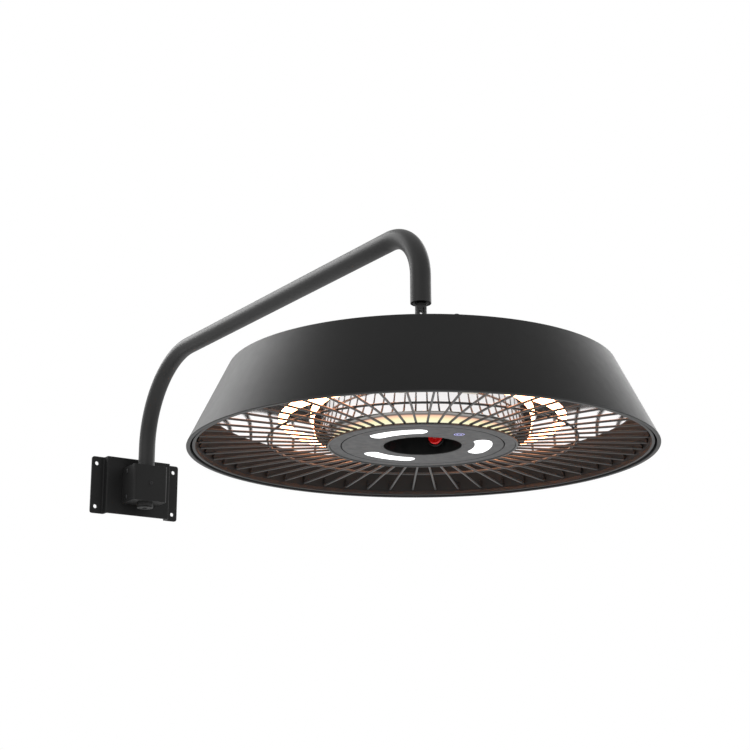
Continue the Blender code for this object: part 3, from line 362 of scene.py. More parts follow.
def bridge(work, first, second):
    """Join two rings of vertices by faces; a ring may be a single vertex."""
    count = max(len(first), len(second))
    for step in range(count):
        after = (step + 1) % count
        corners = [first[step % len(first)], first[after % len(first)],
                   second[after % len(second)], second[step % len(second)]]
        corners = list(dict.fromkeys(corners))
        if len(corners) > 2:
            work.faces.new(corners)


def turned_mesh(profile, segments):
    """Turn a closed profile of (radius, height) points about local Z."""
    work = bmesh.new()
    rings = []
    for radius, height in profile:
        if radius < 1e-6:
            rings.append([work.verts.new((0, 0, height))])
        else:
            rings.append([work.verts.new(on_circle(radius, angle, height)) for angle in turns(segments)])
    for index, ring in enumerate(rings):
        bridge(work, rings[index - 1], ring)
    return mesh_of(work)


def turned(name, profile, material, matrix=HEAD, segments=FINE):
    """Add a turned piece."""
    return add(name, turned_mesh(profile, segments), material, matrix)


def ring_frames(points, closed, up):
    """Yield each point with two directions square to the path, without twist."""
    normal = Vector(up)
    count = len(points)
    for index, point in enumerate(points):
        before = points[index - 1] if closed or index > 0 else points[index]
        after = points[(index + 1) % count] if closed or index < count - 1 else points[index]
        tangent = (after - before).normalized()
        normal = (normal - tangent * normal.dot(tangent)).normalized()
        yield point, normal, tangent.cross(normal)


def tube(work, points, radius, sides, closed=False):
    """Add a round tube along points to a bmesh, capped at its ends unless it is closed."""
    points = [Vector(point) for point in points]
    rings = []
    for point, normal, side in ring_frames(points, closed, (0, 0, 1)):
        rings.append([work.verts.new(point + radius * (normal * math.cos(a) + side * math.sin(a)))
                      for a in turns(sides)])
    for first, second in zip(rings, rings[1:]):
        bridge(work, first, second)
    if closed:
        bridge(work, rings[-1], rings[0])
    else:
        work.faces.new(rings[0])
        work.faces.new(rings[-1])


def pipe_mesh(points, outer, wall, edge, sides):
    """Return an open pipe along points, with its end edges eased."""
    points = [Vector(point) for point in points]
    first = (points[1] - points[0]).normalized() * edge
    last = (points[-2] - points[-1]).normalized() * edge
    path = [points[0], points[0] + first, *points[1:-1], points[-1] + last, points[-1]]
    inner = outer - wall
    outside = [outer - edge] + [outer] * (len(path) - 2) + [outer - edge]
    inside = [inner + edge] + [inner] * (len(path) - 2) + [inner + edge]
    work = bmesh.new()
    skins = [[], []]
    for index, (point, normal, side) in enumerate(ring_frames(path, False, (1, 0, 0))):
        for skin, radii in zip(skins, (outside, inside)):
            skin.append([work.verts.new(point + radii[index] * (normal * math.cos(a) + side * math.sin(a)))
                         for a in turns(sides)])
    rings = skins[0] + skins[1][::-1]
    for index, ring in enumerate(rings):
        bridge(work, rings[index - 1], ring)
    return mesh_of(work)


def plate_mesh(outlines, bottom, top, edge=0.0):
    """Return a flat plate in local XY with eased edges: the first outline is its rim, the rest holes."""
    curve = bpy.data.curves.new("outline", "CURVE")
    curve.dimensions = "2D"
    curve.fill_mode = "BOTH"
    curve.extrude = (top - bottom) / 2 - edge
    curve.bevel_depth = edge
    curve.bevel_resolution = 2
    curve.offset = -edge
    for index, outline in enumerate(outlines):
        path = [Vector(point) for point in outline]
        spline = curve.splines.new("POLY")
        spline.points.add(len(path) - 1)
        for point, place in zip(spline.points, path if index == 0 else reversed(path)):
            point.co = (place.x, place.y, 0, 1)
        spline.use_cyclic_u = True
    mesh = mesh_from_object(bpy.data.objects.new("outline", curve))
    mesh.transform(Matrix.Translation((0, 0, (top + bottom) / 2)))
    return mesh


def mesh_from_object(piece):
    """Return the welded mesh that an object evaluates to, and delete the object."""
    if not piece.users_collection:
        bpy.context.scene.collection.objects.link(piece)
    bpy.context.view_layer.update()
    graph = bpy.context.evaluated_depsgraph_get()
    mesh = bpy.data.meshes.new_from_object(piece.evaluated_get(graph))
    work = bmesh.new()
    work.from_mesh(mesh)
    bmesh.ops.remove_doubles(work, verts=work.verts, dist=WELD_DISTANCE)
    bpy.data.objects.remove(piece, do_unlink=True)
    return mesh_of(work)


def box_mesh(low, high, edges=()):
    """Return a box; edges holds (radius, test) pairs that say which edges to round."""
    low, high = Vector(low), Vector(high)
    work = bmesh.new()
    bmesh.ops.create_cube(work, size=1.0)
    bmesh.ops.scale(work, vec=high - low, verts=work.verts)
    bmesh.ops.translate(work, vec=(low + high) / 2, verts=work.verts)
    for radius, test in edges:
        chosen = [edge for edge in work.edges if test(edge)]
        bmesh.ops.bevel(work, geom=chosen, offset=radius, segments=8, profile=0.5, affect="EDGES")
    return mesh_of(work)


def moved(mesh, matrix):
    """Move a mesh's points and return it."""
    mesh.transform(matrix)
    return mesh


def carved(mesh, cutters, edge=0.0, union=(), within=()):
    """Add meshes to a mesh, keep what lies within others, cut others away and ease sharp edges."""
    piece = bpy.data.objects.new("blank", mesh)
    bpy.context.scene.collection.objects.link(piece)
    others = []
    for operation, meshes in (("UNION", union), ("INTERSECT", within), ("DIFFERENCE", cutters)):
        for other in meshes:
            tool = bpy.data.objects.new("tool", other)
            bpy.context.scene.collection.objects.link(tool)
            others.append(tool)
            modifier = piece.modifiers.new("tool", "BOOLEAN")
            modifier.operation = operation
            modifier.object = tool
            modifier.solver = "EXACT"
    if edge > 0:
        bevel = piece.modifiers.new("edge", "BEVEL")
        bevel.width = edge
        bevel.segments = 2
        bevel.limit_method = "ANGLE"
        bevel.angle_limit = BEVEL_ANGLE
    result = mesh_from_object(piece)
    for tool in others:
        bpy.data.objects.remove(tool, do_unlink=True)
    return result


def joined(meshes):
    """Join meshes that don't share points into one."""
    work = bmesh.new()
    for mesh in meshes:
        work.from_mesh(mesh)
    return mesh_of(work)


def rod_mesh(radius, low, high, segments=SMALL):
    """Return a plain cylinder along local Z."""
    return turned_mesh([(0, low), (radius, low), (radius, high), (0, high)], segments)


def along(origin, direction):
    """Return a matrix whose local Z runs along a direction from an origin."""
    z_axis = Vector(direction).normalized()
    x_axis = Vector((0, 0, 1)).cross(z_axis).normalized()
    y_axis = z_axis.cross(x_axis)
    matrix = Matrix((x_axis, y_axis, z_axis)).transposed().to_4x4()
    matrix.translation = Vector(origin)
    return matrix


def circle(radius, segments, centre=(0, 0)):
    """Return the points of a circle in the plane."""
    return [(centre[0] + radius * math.cos(a), centre[1] + radius * math.sin(a)) for a in turns(segments)]


def arc_slot(radius, width, half_angle, middle_angle, steps=40, end_steps=14):
    """Return the outline of a slot along an arc, with round ends."""
    end = width / 2
    reach = half_angle - end / radius
    points = []
    for side in (1, -1):
        for step in range(steps + 1):
            angle = middle_angle + side * (2 * reach * step / steps - reach)
            points.append(on_circle(radius + side * end, angle).to_2d())
        centre = on_circle(radius, middle_angle + side * reach).to_2d()
        for step in range(1, end_steps):
            turn = middle_angle + side * reach + (0 if side > 0 else math.pi) + math.pi * step / end_steps
            points.append(centre + on_circle(end, turn).to_2d())
    return points


# Finishes


def grey(level):
    """Return a grey as a colour."""
    return (level, level, level)


def principled(name, colour, roughness, metallic=0.0, specular=0.5):
    """Return a new material with a Principled BSDF."""
    material = bpy.data.materials.new(name)
    material.use_nodes = True
    socket(material, "Base Color").default_value = (*colour, 1.0)
    socket(material, "Roughness").default_value = roughness
    socket(material, "Metallic").default_value = metallic
    socket(material, "Specular IOR Level").default_value = specular
    material.diffuse_color = (*colour, 1.0)
    return material


def socket(material, name):
    """Return an input of a material's Principled BSDF."""
    return material.node_tree.nodes["Principled BSDF"].inputs[name]


def add_node(material, kind, values=(), **settings):
    """Add a shader node, with values for its inputs by name and settings for its properties."""
    node = material.node_tree.nodes.new(kind)
    for name, value in settings.items():
        setattr(node, name, value)
    for name, value in dict(values).items():
        node.inputs[name].default_value = value
    return node


def link(material, output, target):
    """Join an output to an input."""
    material.node_tree.links.new(output, target)


def noise(material, scale, detail):
    """Return the output of a noise in the object's own space."""
    place = add_node(material, "ShaderNodeTexCoord")
    texture = add_node(material, "ShaderNodeTexNoise", {"Scale": scale, "Detail": detail})
    link(material, place.outputs["Object"], texture.inputs["Vector"])
    return texture.outputs["Fac"]


def rings(material, scale):
    """Return the output of fine rings about the head's axis, as a lathe leaves them."""
    place = add_node(material, "ShaderNodeTexCoord")
    centre = add_node(material, "ShaderNodeMapping", {"Location": (-HEAD_MIDDLE.x, -HEAD_MIDDLE.y, 0)})
    texture = add_node(material, "ShaderNodeTexWave", {"Scale": scale, "Distortion": 0.4, "Detail": 1.0},
                       wave_type="RINGS", rings_direction="Z")
    link(material, place.outputs["Object"], centre.inputs["Vector"])
    link(material, centre.outputs["Vector"], texture.inputs["Vector"])
    return texture.outputs["Fac"]


def spread(material, value, low, high, from_low=0.3, from_high=0.7):
    """Map a value to a range and return the output."""
    ranged = add_node(material, "ShaderNodeMapRange",
                      {"From Min": from_low, "From Max": from_high, "To Min": low, "To Max": high})
    link(material, value, ranged.inputs["Value"])
    return ranged.outputs["Result"]


def vary(material, target, scale, detail, low, high):
    """Vary a number of the shader in a range by a noise."""
    link(material, spread(material, noise(material, scale, detail), low, high), socket(material, target))


def mottle(material, scale, detail, first, second, target="Base Color"):
    """Vary a colour of the shader between two by a noise."""
    mix = add_node(material, "ShaderNodeMix", data_type="RGBA")
    mix.inputs["A"].default_value = (*first, 1.0)
    mix.inputs["B"].default_value = (*second, 1.0)
    link(material, spread(material, noise(material, scale, detail), 0.0, 1.0), mix.inputs["Factor"])
    link(material, mix.outputs["Result"], socket(material, target))


def emboss(material, value, strength, distance):
    """Add a bump by a height value over the bumps that the material has."""
    bump = add_node(material, "ShaderNodeBump", {"Strength": strength, "Distance": distance})
    normal = socket(material, "Normal")
    if normal.is_linked:
        link(material, normal.links[0].from_socket, bump.inputs["Normal"])
    link(material, value, bump.inputs["Height"])
    link(material, bump.outputs["Normal"], normal)


def powder_coat(name, colour, other, roughness, specular, grain=900.0):
    """Matt powder coat: fine orange peel, slightly uneven sheen and colour."""
    material = principled(name, colour, roughness, specular=specular)
    mottle(material, 14.0, 4.0, colour, other)
    vary(material, "Roughness", 90.0, 3.0, roughness - 0.012, roughness + 0.018)
    emboss(material, noise(material, grain, 2.0), 0.12, 0.00005)
    return material


def turned_metal(name, colour, other, roughness, pitch_scale, depth):
    """Bright metal with lathe rings and faint cloudy stains."""
    material = principled(name, colour, roughness, metallic=1.0)
    mottle(material, 9.0, 5.0, colour, other)
    vary(material, "Roughness", 40.0, 3.0, roughness * 0.8, roughness * 1.3)
    emboss(material, rings(material, pitch_scale), 0.25, depth)
    return material


def moulded(name, colour, other, roughness, specular=0.5, grain=1400.0, depth=0.00006):
    """Moulded plastic with a fine spark-eroded grain."""
    material = principled(name, colour, roughness, specular=specular)
    mottle(material, 30.0, 3.0, colour, other)
    vary(material, "Roughness", 110.0, 2.0, roughness - 0.05, roughness + 0.06)
    emboss(material, noise(material, grain, 3.0), 0.4, depth)
    return material


def glowing(name, colour, other, strength, scale):
    """Opal plastic lit from behind, a little uneven and dimmer on its rounded edges."""
    material = principled(name, (0.5, 0.5, 0.5), 0.35)
    mottle(material, scale, 2.0, colour, other, "Emission Color")
    shape = add_node(material, "ShaderNodeNewGeometry")
    axes = add_node(material, "ShaderNodeSeparateXYZ")
    link(material, shape.outputs["Normal"], axes.inputs["Vector"])
    facing = spread(material, axes.outputs["Z"], strength, strength * 0.12, -0.98, -0.10)
    uneven = add_node(material, "ShaderNodeMath", operation="MULTIPLY")
    link(material, facing, uneven.inputs[0])
    link(material, spread(material, noise(material, scale * 3, 1.0), 0.94, 1.06), uneven.inputs[1])
    link(material, uneven.outputs["Value"], socket(material, "Emission Strength"))
    emboss(material, noise(material, 500.0, 2.0), 0.1, 0.00005)
    return material


def glow_with_painted_ledge(name, low, high):
    """Warm opal band: cream at its foot and rose above it; near its top a painted shadow line, a grey
    painted lit ledge that glows, and dark above.
    """
    material = principled(name, (0.05, 0.05, 0.05), 0.4)
    place = add_node(material, "ShaderNodeTexCoord")
    axes = add_node(material, "ShaderNodeSeparateXYZ")
    link(material, place.outputs["Object"], axes.inputs["Vector"])
    share = spread(material, axes.outputs["Z"], 0.0, 1.0, low, high)
    drift = spread(material, noise(material, 16.0, 1.0), -0.04, 0.10)
    total = add_node(material, "ShaderNodeMath", operation="ADD", use_clamp=True)
    link(material, share, total.inputs[0])
    link(material, drift, total.inputs[1])
    ramp = add_node(material, "ShaderNodeValToRGB")
    ramp.color_ramp.elements[0].color = (*GLOW_AND_PAINTED_LEDGE_STEPS[0][1], 1.0)
    ramp.color_ramp.elements[1].color = (*GLOW_AND_PAINTED_LEDGE_STEPS[-1][1], 1.0)
    for share_up, colour in GLOW_AND_PAINTED_LEDGE_STEPS[1:-1]:
        ramp.color_ramp.elements.new(share_up).color = (*colour, 1.0)
    link(material, total.outputs["Value"], ramp.inputs["Fac"])
    link(material, ramp.outputs["Color"], socket(material, "Emission Color"))
    socket(material, "Emission Strength").default_value = 1.0
    return material


def quartz_glow(name, colour, other, strength):
    """Quartz tube full of light, a little uneven along its filament."""
    material = principled(name, (0.9, 0.6, 0.4), 0.15)
    mottle(material, 120.0, 2.0, colour, other, "Emission Color")
    vary(material, "Emission Strength", 60.0, 1.0, strength * 0.8, strength * 1.2)
    return material


SHADE_BLACK = powder_coat("shade_black", grey(0.0030), grey(0.0042), 0.5, 0.17)
TUBE_BLACK = powder_coat("tube_black", grey(0.0110), grey(0.0150), 0.48, 0.30, 1300.0)
PLATE_BLACK = powder_coat("plate_black", grey(0.0100), grey(0.0130), 0.5, 0.15, 1100.0)
LINER_BROWN = powder_coat("liner_brown", (0.0045, 0.0050, 0.0050), (0.0065, 0.0070, 0.0070), 0.55, 0.22,
                          800.0)
# Lighter copy of the shade's black for the hem and the liner's lip: painted light, standing for their lit
# undersides.
LIP_PAINTED_LIGHTER = powder_coat("lip_painted_lighter", (0.0130, 0.0140, 0.0140), (0.0170, 0.0180, 0.0180), 0.5, 0.30)
WIRE_BLACK = powder_coat("wire_black", (0.034, 0.035, 0.035), (0.028, 0.029, 0.029), 0.42, 0.45, 900.0)
REFLECTOR = turned_metal("reflector", (0.95, 0.93, 0.93), (0.91, 0.89, 0.89), 0.05, 260.0, 0.000005)
STEEL = turned_metal("steel", (0.50, 0.50, 0.51), (0.42, 0.42, 0.43), 0.34, 600.0, 0.00002)
DARK_STEEL = turned_metal("dark_steel", (0.045, 0.045, 0.047), (0.030, 0.030, 0.031), 0.42, 600.0,
                          0.00002)
HUB_BLACK = moulded("hub_black", (0.030, 0.030, 0.031), (0.036, 0.036, 0.037), 0.55)
RECESS_BLACK = moulded("recess_black", grey(0.0035), grey(0.0055), 0.35, 0.25)
NYLON = moulded("nylon", grey(0.006), grey(0.009), 0.5, 0.2)
CERAMIC = moulded("ceramic", (0.72, 0.69, 0.62), (0.62, 0.59, 0.52), 0.6, 0.4, 700.0, 0.00015)
BUTTON_RED = moulded("button_red", (0.80, 0.006, 0.006), (0.70, 0.005, 0.005), 0.28, 0.5, 600.0,
                     0.00002)
MARK_PINK = moulded("mark_pink", (0.80, 0.20, 0.18), (0.75, 0.16, 0.15), 0.4)
BOARD_GREEN = moulded("circuit_board", (0.020, 0.110, 0.045), (0.015, 0.080, 0.035), 0.45)
LENS_WHITE = glowing("lens_white", (1.0, 1.0, 1.0), (0.97, 0.99, 1.0), 1.5, 60.0)
KEY_BLUE = glowing("key_blue", (0.16, 0.16, 0.95), (0.22, 0.20, 1.0), 0.9, 300.0)
# The light ring's glow, with a painted lit ledge and painted shadow lines near its top.
GLOW = glow_with_painted_ledge("diffuser", RIM_LEVEL + GLOW_FOOT, RIM_LEVEL + GLOW_EDGE)
LAMP_GLOW = quartz_glow("lamp_quartz", (1.0, 0.36, 0.16), (1.0, 0.42, 0.20), 18.0)


# Head


def make_shade():
    """Spun cone with an in-turned top flange, and its rolled hem."""
    lean = (SHADE_TOP_RADIUS - RIM_RADIUS) / SHADE_HEIGHT
    under = SHADE_HEIGHT - SHADE_WALL
    inner_foot = RIM_RADIUS + lean * HEM_HEIGHT - SHADE_WALL
    corners = [(RIM_RADIUS + lean * HEM_LINE, HEM_LINE), (SHADE_TOP_RADIUS, SHADE_HEIGHT),
               (SHADE_TOP_RADIUS - TOP_FLANGE, SHADE_HEIGHT), (SHADE_TOP_RADIUS - TOP_FLANGE, under),
               (RIM_RADIUS + lean * under - SHADE_WALL, under), (inner_foot, HEM_HEIGHT),
               (RIM_RADIUS - SHADE_WALL, HEM_LINE)]
    radii = [0, 0.0022, 0.0004, 0.0004, 0.0006, 0, 0]
    dress(turned("shade_shell", rounded(corners, radii), SHADE_BLACK), "head", "shade_black", "shade")
    corners = [(RIM_RADIUS, 0), (RIM_RADIUS + lean * HEM_LINE, HEM_LINE),
               (RIM_RADIUS - SHADE_WALL, HEM_LINE), (inner_foot, HEM_HEIGHT),
               (RIM_RADIUS - HEM_WIDTH, HEM_HEIGHT), (RIM_RADIUS - HEM_WIDTH, 0)]
    hem = rounded(corners, [0.0009, 0, 0, 0, 0.0010, 0.0008])
    # The hem, part of the shade's own sheet, takes the lighter lip coat as painted light.
    dress(turned("shade_hem", hem, LIP_PAINTED_LIGHTER), "head", "shade_black")


def make_liner():
    """Brown-black wall inside the shade, and its rolled lip."""
    foot, top = LIP_RADIUS, LINER_TOP_RADIUS
    lip_top = LIP_LEVEL + LIP_HEIGHT
    flange = top + LINER_FLANGE
    corners = [(foot + LINER_WALL, lip_top), (top + LINER_WALL, LINER_HEIGHT - LINER_WALL),
               (flange, LINER_HEIGHT - LINER_WALL), (flange, LINER_HEIGHT), (top, LINER_HEIGHT),
               (foot, lip_top)]
    radii = [0, 0.0008, 0, 0, 0.0015, 0]
    dress(turned("liner_wall", rounded(corners, radii), LINER_BROWN), "head", "liner_brown", "liner")
    inner, outer, over = foot - LIP_STEP, foot + LIP_WIDTH, lip_top + LIP_STEP
    lip = rounded([(inner, LIP_LEVEL), (outer, LIP_LEVEL), (outer, over), (inner, over)],
                  [0.0008, 0.0008, 0.0008, 0.0009])
    # The liner's lip takes the lighter lip coat as painted light.
    dress(turned("liner_lip", lip, LIP_PAINTED_LIGHTER), "head", "liner_brown")


def make_reflector():
    """Polished dished ceiling and the mirror cone round the hub."""
    under = []
    steps = 24
    for step in range(steps + 1):
        share = step / steps
        radius = LINER_TOP_RADIUS + LINER_WALL + (CONE_TOP[0] - LINER_TOP_RADIUS - LINER_WALL) * share
        rise = (CEILING_INNER_LEVEL - CEILING_OUTER_LEVEL) * (1 - (1 - share) ** REFLECTOR_CURVE)
        under.append((radius, CEILING_OUTER_LEVEL + rise))
    inner = HOUSING_RADIUS + SEAT_GAP
    over = [(radius, level + REFLECTOR_WALL) for radius, level in reversed(under)]
    ceiling = under + [(inner, under[-1][1]), (inner, over[0][1])] + over
    dress(turned("reflector_ceiling", ceiling, REFLECTOR), "head", "reflector", "reflector")
    foot, top = CONE_FOOT, CONE_TOP
    corners = [foot, top, (top[0], top[1] + CONE_WALL), (inner, top[1] + CONE_WALL), (inner, top[1]),
               (top[0] - 2 * CONE_WALL, top[1]), (foot[0] - CONE_WALL, foot[1])]
    radii = [0.0005, 0.0008, 0, 0, 0, 0.0008, 0.0005]
    dress(turned("mirror_cone", rounded(corners, radii), REFLECTOR), "head", "reflector", "hub_cone")


def make_hub():
    """Face of the control hub: outer ring, panel, recess and the glow band behind them."""
    low = DISC_LEVEL
    ring = [(HUB_RADIUS, low), (HUB_RADIUS, low + HUB_RING_SHEET),
            (HUB_RING_INNER + HUB_RING_SHEET, low + HUB_RING_SHEET),
            (HUB_RING_INNER + HUB_RING_SHEET, low + HUB_RING_UPSTAND),
            (HUB_RING_INNER, low + HUB_RING_UPSTAND), (HUB_RING_INNER, low)]
    ring = rounded(ring, [0.0005, 0.0003, 0.0004, 0, 0, 0.0004])
    dress(turned("hub_outer_ring", ring, HUB_BLACK), "head", "hub_black", "hub_ring")
    outlines = [circle(PANEL_RADIUS, FINE), circle(RECESS_RADIUS + RECESS_WALL + 0.0002, MEDIUM)]
    for angle in turns(LENS_COUNT):
        outlines.append(arc_slot(LENS_ORBIT, LENS_WIDTH + 0.0004, LENS_HALF_ANGLE + 0.003, angle))
    key = on_circle(KEY_ORBIT, KEY_ANGLE)
    outlines.append(circle(KEY_RADIUS + 0.00015, SMALL, key[:2]))
    panel = plate_mesh(outlines, low, low + PANEL_THICKNESS, EDGE_EASE)
    dress(add("hub_face_panel", panel, HUB_BLACK, HEAD, flat=True), "head", "hub_black", "hub_panel")
    wall, top = RECESS_RADIUS + RECESS_WALL, low + RECESS_DEPTH
    profile = rounded([(RECESS_RADIUS, low), (wall, low), (wall, top + RECESS_WALL),
                       (0, top + RECESS_WALL), (0, top), (RECESS_RADIUS, top)],
                      [0.0009, 0.0003, 0.002, 0, 0, 0.004])
    hole = moved(rod_mesh(COLLAR_SLEEVE_RADIUS + 0.0002, BUTTON_FACE, wall + 0.005), button_place())
    cup = carved(turned_mesh(profile, MEDIUM), [hole])
    dress(add("recess_wall", cup, RECESS_BLACK, HEAD), "head", "recess_black", "recess_cup")
    band = rounded([(GLOW_INNER, GLOW_FOOT), (GLOW_OUTER, GLOW_FOOT), (GLOW_OUTER, GLOW_TOP),
                    (GLOW_INNER, GLOW_TOP)], [0.0003, 0.0006, 0.0003, 0.0003])
    dress(turned("glow_with_painted_ledge", band, GLOW), "head", "diffuser", "light_ring")


def button_place():
    """Return the button's frame inside the head: local Z runs out from the middle."""
    return along((0, 0, BUTTON_LEVEL), on_circle(1, BUTTON_ANGLE))


def power_mark(radius, width, thickness):
    """Return the common power mark in local XY: a broken ring and a bar."""
    gap = math.radians(38)
    points = []
    steps = 28
    for side in (1, -1):
        for step in range(steps + 1):
            turn = gap + (math.tau - 2 * gap) * (step if side > 0 else steps - step) / steps
            points.append(on_circle(radius + side * width / 2, turn + math.pi / 2).to_2d())
    bar = [(-width / 2, 0.25 * radius), (width / 2, 0.25 * radius), (width / 2, 1.2 * radius),
           (-width / 2, 1.2 * radius)]
    return joined([plate_mesh([points], 0, thickness), plate_mesh([bar], 0, thickness)])


def make_lights():
    """White arc lenses and the touch key with its lit mark."""
    for index, angle in enumerate(turns(LENS_COUNT)):
        lens = plate_mesh([arc_slot(LENS_ORBIT, LENS_WIDTH, LENS_HALF_ANGLE, angle)], DISC_LEVEL,
                          DISC_LEVEL + LENS_THICKNESS, LENS_EDGE)
        dress(add(f"lens_{index + 1}", lens, LENS_WHITE, HEAD, flat=True), "head", "lens",
              f"led_lens_{index + 1}")
    place = Matrix.Translation(on_circle(KEY_ORBIT, KEY_ANGLE, DISC_LEVEL))
    cap = rounded([(0, 0.0001), (KEY_RADIUS, 0.0001), (KEY_RADIUS, LENS_THICKNESS), (0, LENS_THICKNESS)],
                  [0, 0.0003, 0.0003, 0])
    dress(turned("key_cap", cap, HUB_BLACK, HEAD @ place, SMALL), "head", "hub_black", "touch_key")
    halo = plate_mesh([circle(KEY_HALO_OUTER, SMALL), circle(KEY_HALO_INNER, SMALL)], 0, KEY_MARK_HEIGHT)
    turn = Matrix.Rotation(math.radians(180) - HEAD_YAW, 4, "Z")
    mark = power_mark(KEY_MARK_RADIUS, KEY_MARK_WIDTH, KEY_MARK_HEIGHT)
    mark = joined([halo, moved(mark, turn)])
    dress(add("key_mark", mark, KEY_BLUE, HEAD @ place), "head", "key_blue")


def make_button():
    """Red push button with a power mark, in its black collar."""
    frame_matrix = HEAD @ button_place()
    corners = [(COLLAR_BORE, COLLAR_FACE), (COLLAR_RADIUS, COLLAR_FACE), (COLLAR_RADIUS, COLLAR_BACK),
               (COLLAR_SLEEVE_RADIUS, COLLAR_BACK), (COLLAR_SLEEVE_RADIUS, COLLAR_END),
               (COLLAR_BORE, COLLAR_END)]
    collar = rounded(corners, [0.0005, 0.0012, 0, 0, 0, 0])
    dress(turned("button_collar", collar, RECESS_BLACK, frame_matrix, MEDIUM), "head", "recess_black",
          "switch_collar")
    cap = [(0, BUTTON_FACE + 0.0003), (BUTTON_RADIUS * 0.7, BUTTON_FACE + 0.0001),
           (BUTTON_RADIUS - 0.0012, BUTTON_FACE), (BUTTON_RADIUS, BUTTON_FACE + 0.0010),
           (BUTTON_RADIUS, BUTTON_BACK), (BUTTON_STEM_RADIUS, BUTTON_BACK),
           (BUTTON_STEM_RADIUS, BUTTON_STEM_END), (0, BUTTON_STEM_END)]
    cap = rounded(cap, [0, 0.004, 0.0008, 0.0006, 0, 0, 0, 0])
    dress(turned("button_cap", cap, BUTTON_RED, frame_matrix, MEDIUM), "button", "button_red",
          "power_button")
    mark = power_mark(BUTTON_MARK_RADIUS, BUTTON_MARK_WIDTH, BUTTON_MARK_HEIGHT)
    lift = Matrix.Translation((0, 0, BUTTON_FACE + 0.00005)) @ Matrix.Rotation(math.pi / 2, 4, "Z")
    dress(add("button_mark", mark, MARK_PINK, frame_matrix @ lift), "button", "button_red")


def make_guard():
    """Radial wires with turned-up ends, two rings and the weld beads at the crossings."""
    wires, ends = bmesh.new(), bmesh.new()
    lean = (LIP_RADIUS - LINER_TOP_RADIUS) / (LINER_HEIGHT - LIP_LEVEL - LIP_HEIGHT)
    corners = [(GUARD_HUB_RADIUS, 0, GUARD_HUB_LEVEL), (GUARD_RING_RADIUS, 0, GUARD_RING_LEVEL),
               (GUARD_RIM_RADIUS, 0, GUARD_RIM_LEVEL),
               (GUARD_RIM_RADIUS - lean * GUARD_END_RISE, 0, GUARD_RIM_LEVEL + GUARD_END_RISE)]
    path = rounded(corners, [0, 0, GUARD_BEND, 0], closed=False)
    lift = 2 * WIRE_RADIUS - WELD_DEPTH
    crossings = ((GUARD_FOOT_RADIUS, GUARD_HUB_LEVEL - lift),
                 (GUARD_RING_RADIUS, GUARD_RING_LEVEL + lift))
    for angle in turns(WIRE_COUNT):
        turn = Matrix.Rotation(angle, 3, "Z")
        places = [turn @ point for point in path]
        tube(wires, places[:-BEND_POINTS], WIRE_RADIUS, WIRE_SIDES)
        tube(ends, places[-BEND_POINTS - 1:], WIRE_RADIUS, WIRE_SIDES)
        for radius, level in crossings:
            bead = Matrix.Translation(turn @ Vector((radius, 0, (level + GUARD_HUB_LEVEL) / 2)))
            bmesh.ops.create_icosphere(wires, subdivisions=1, radius=WIRE_RADIUS * 1.15, matrix=bead)
    for radius, level in crossings:
        circuit = [on_circle(radius, angle, level) for angle in turns(FINE)]
        tube(wires, circuit, WIRE_RADIUS, WIRE_SIDES, closed=True)
    dress(add("guard_wires", mesh_of(wires), WIRE_BLACK, HEAD), "head", "wire_black", "guard_grille")
    # The turned-up wire ends wear the liner's darker coat, not the wires' own: painted shade.
    dress(add("guard_ends_painted_shade", mesh_of(ends), LINER_BROWN, HEAD), "head", "wire_black")


def make_lamps():
    """Two half-ring quartz lamps, lit; their ceramic holders are the CAD's own."""
    steps = 90
    for index, centre in enumerate(turns(LAMP_COUNT)):
        angles = [centre + LAMP_HALF_ANGLE * (2 * step / steps - 1) for step in range(steps + 1)]
        work = bmesh.new()
        tube(work, [on_circle(LAMP_ORBIT, angle, LAMP_LEVEL) for angle in angles], LAMP_RADIUS, 20)
        dress(add(f"lamp_tube_{index + 1}", mesh_of(work), LAMP_GLOW, HEAD), "head", "lamp_quartz",
              f"heating_lamp_{index + 1}")


def make_top():
    """Vented cover, domed cap and the cover's screws."""
    vents = []
    for index in range(VENT_COUNT):
        turn = Matrix.Rotation(math.tau * (index + 0.5) / VENT_COUNT, 2)
        vents.append([turn @ Vector(point) for point in vent_outline()])
    outlines = [circle(COVER_RADIUS, FINE), *vents]
    for angle in screw_angles():
        outlines.append(circle(TOP_SCREW_HOLE, SMALL, on_circle(TOP_SCREW_ORBIT, angle)[:2]))
    cover = plate_mesh(outlines, COVER_TOP - COVER_SHEET, COVER_TOP, EDGE_EASE)
    dress(add("vented_cover", cover, SHADE_BLACK, HEAD, flat=True), "head", "shade_black", "top_cover")
    foot = COVER_TOP + SEAT_GAP
    outer, inner = [], []
    steps = 32
    for step in range(steps + 1):
        share = step / steps
        radius = CAP_FOOT_RADIUS + (CAP_NECK_RADIUS - CAP_FOOT_RADIUS) * share
        rise = CAP_HEIGHT * math.sin(math.radians(90) * share)
        outer.append((radius, foot + rise))
        inner.append((radius - CAP_WALL, max(foot, foot + rise - CAP_WALL)))
    crown = outer[-1][1]
    profile = outer + [(CAP_HOLE, crown), (CAP_HOLE, crown - CAP_WALL)] + inner[::-1]
    dress(turned("domed_cap", profile, SHADE_BLACK), "head", "shade_black", "top_cap")
    for index, angle in enumerate(screw_angles()):
        place = HEAD @ Matrix.Translation(on_circle(TOP_SCREW_ORBIT, angle, SHADE_HEIGHT + SEAT_GAP))
        screw = add(f"cover_screw_{index + 1}", screw_mesh(*TOP_SCREW), DARK_STEEL, place)
        dress(screw, "head", "screw_black", f"top_screw_{index + 1}")


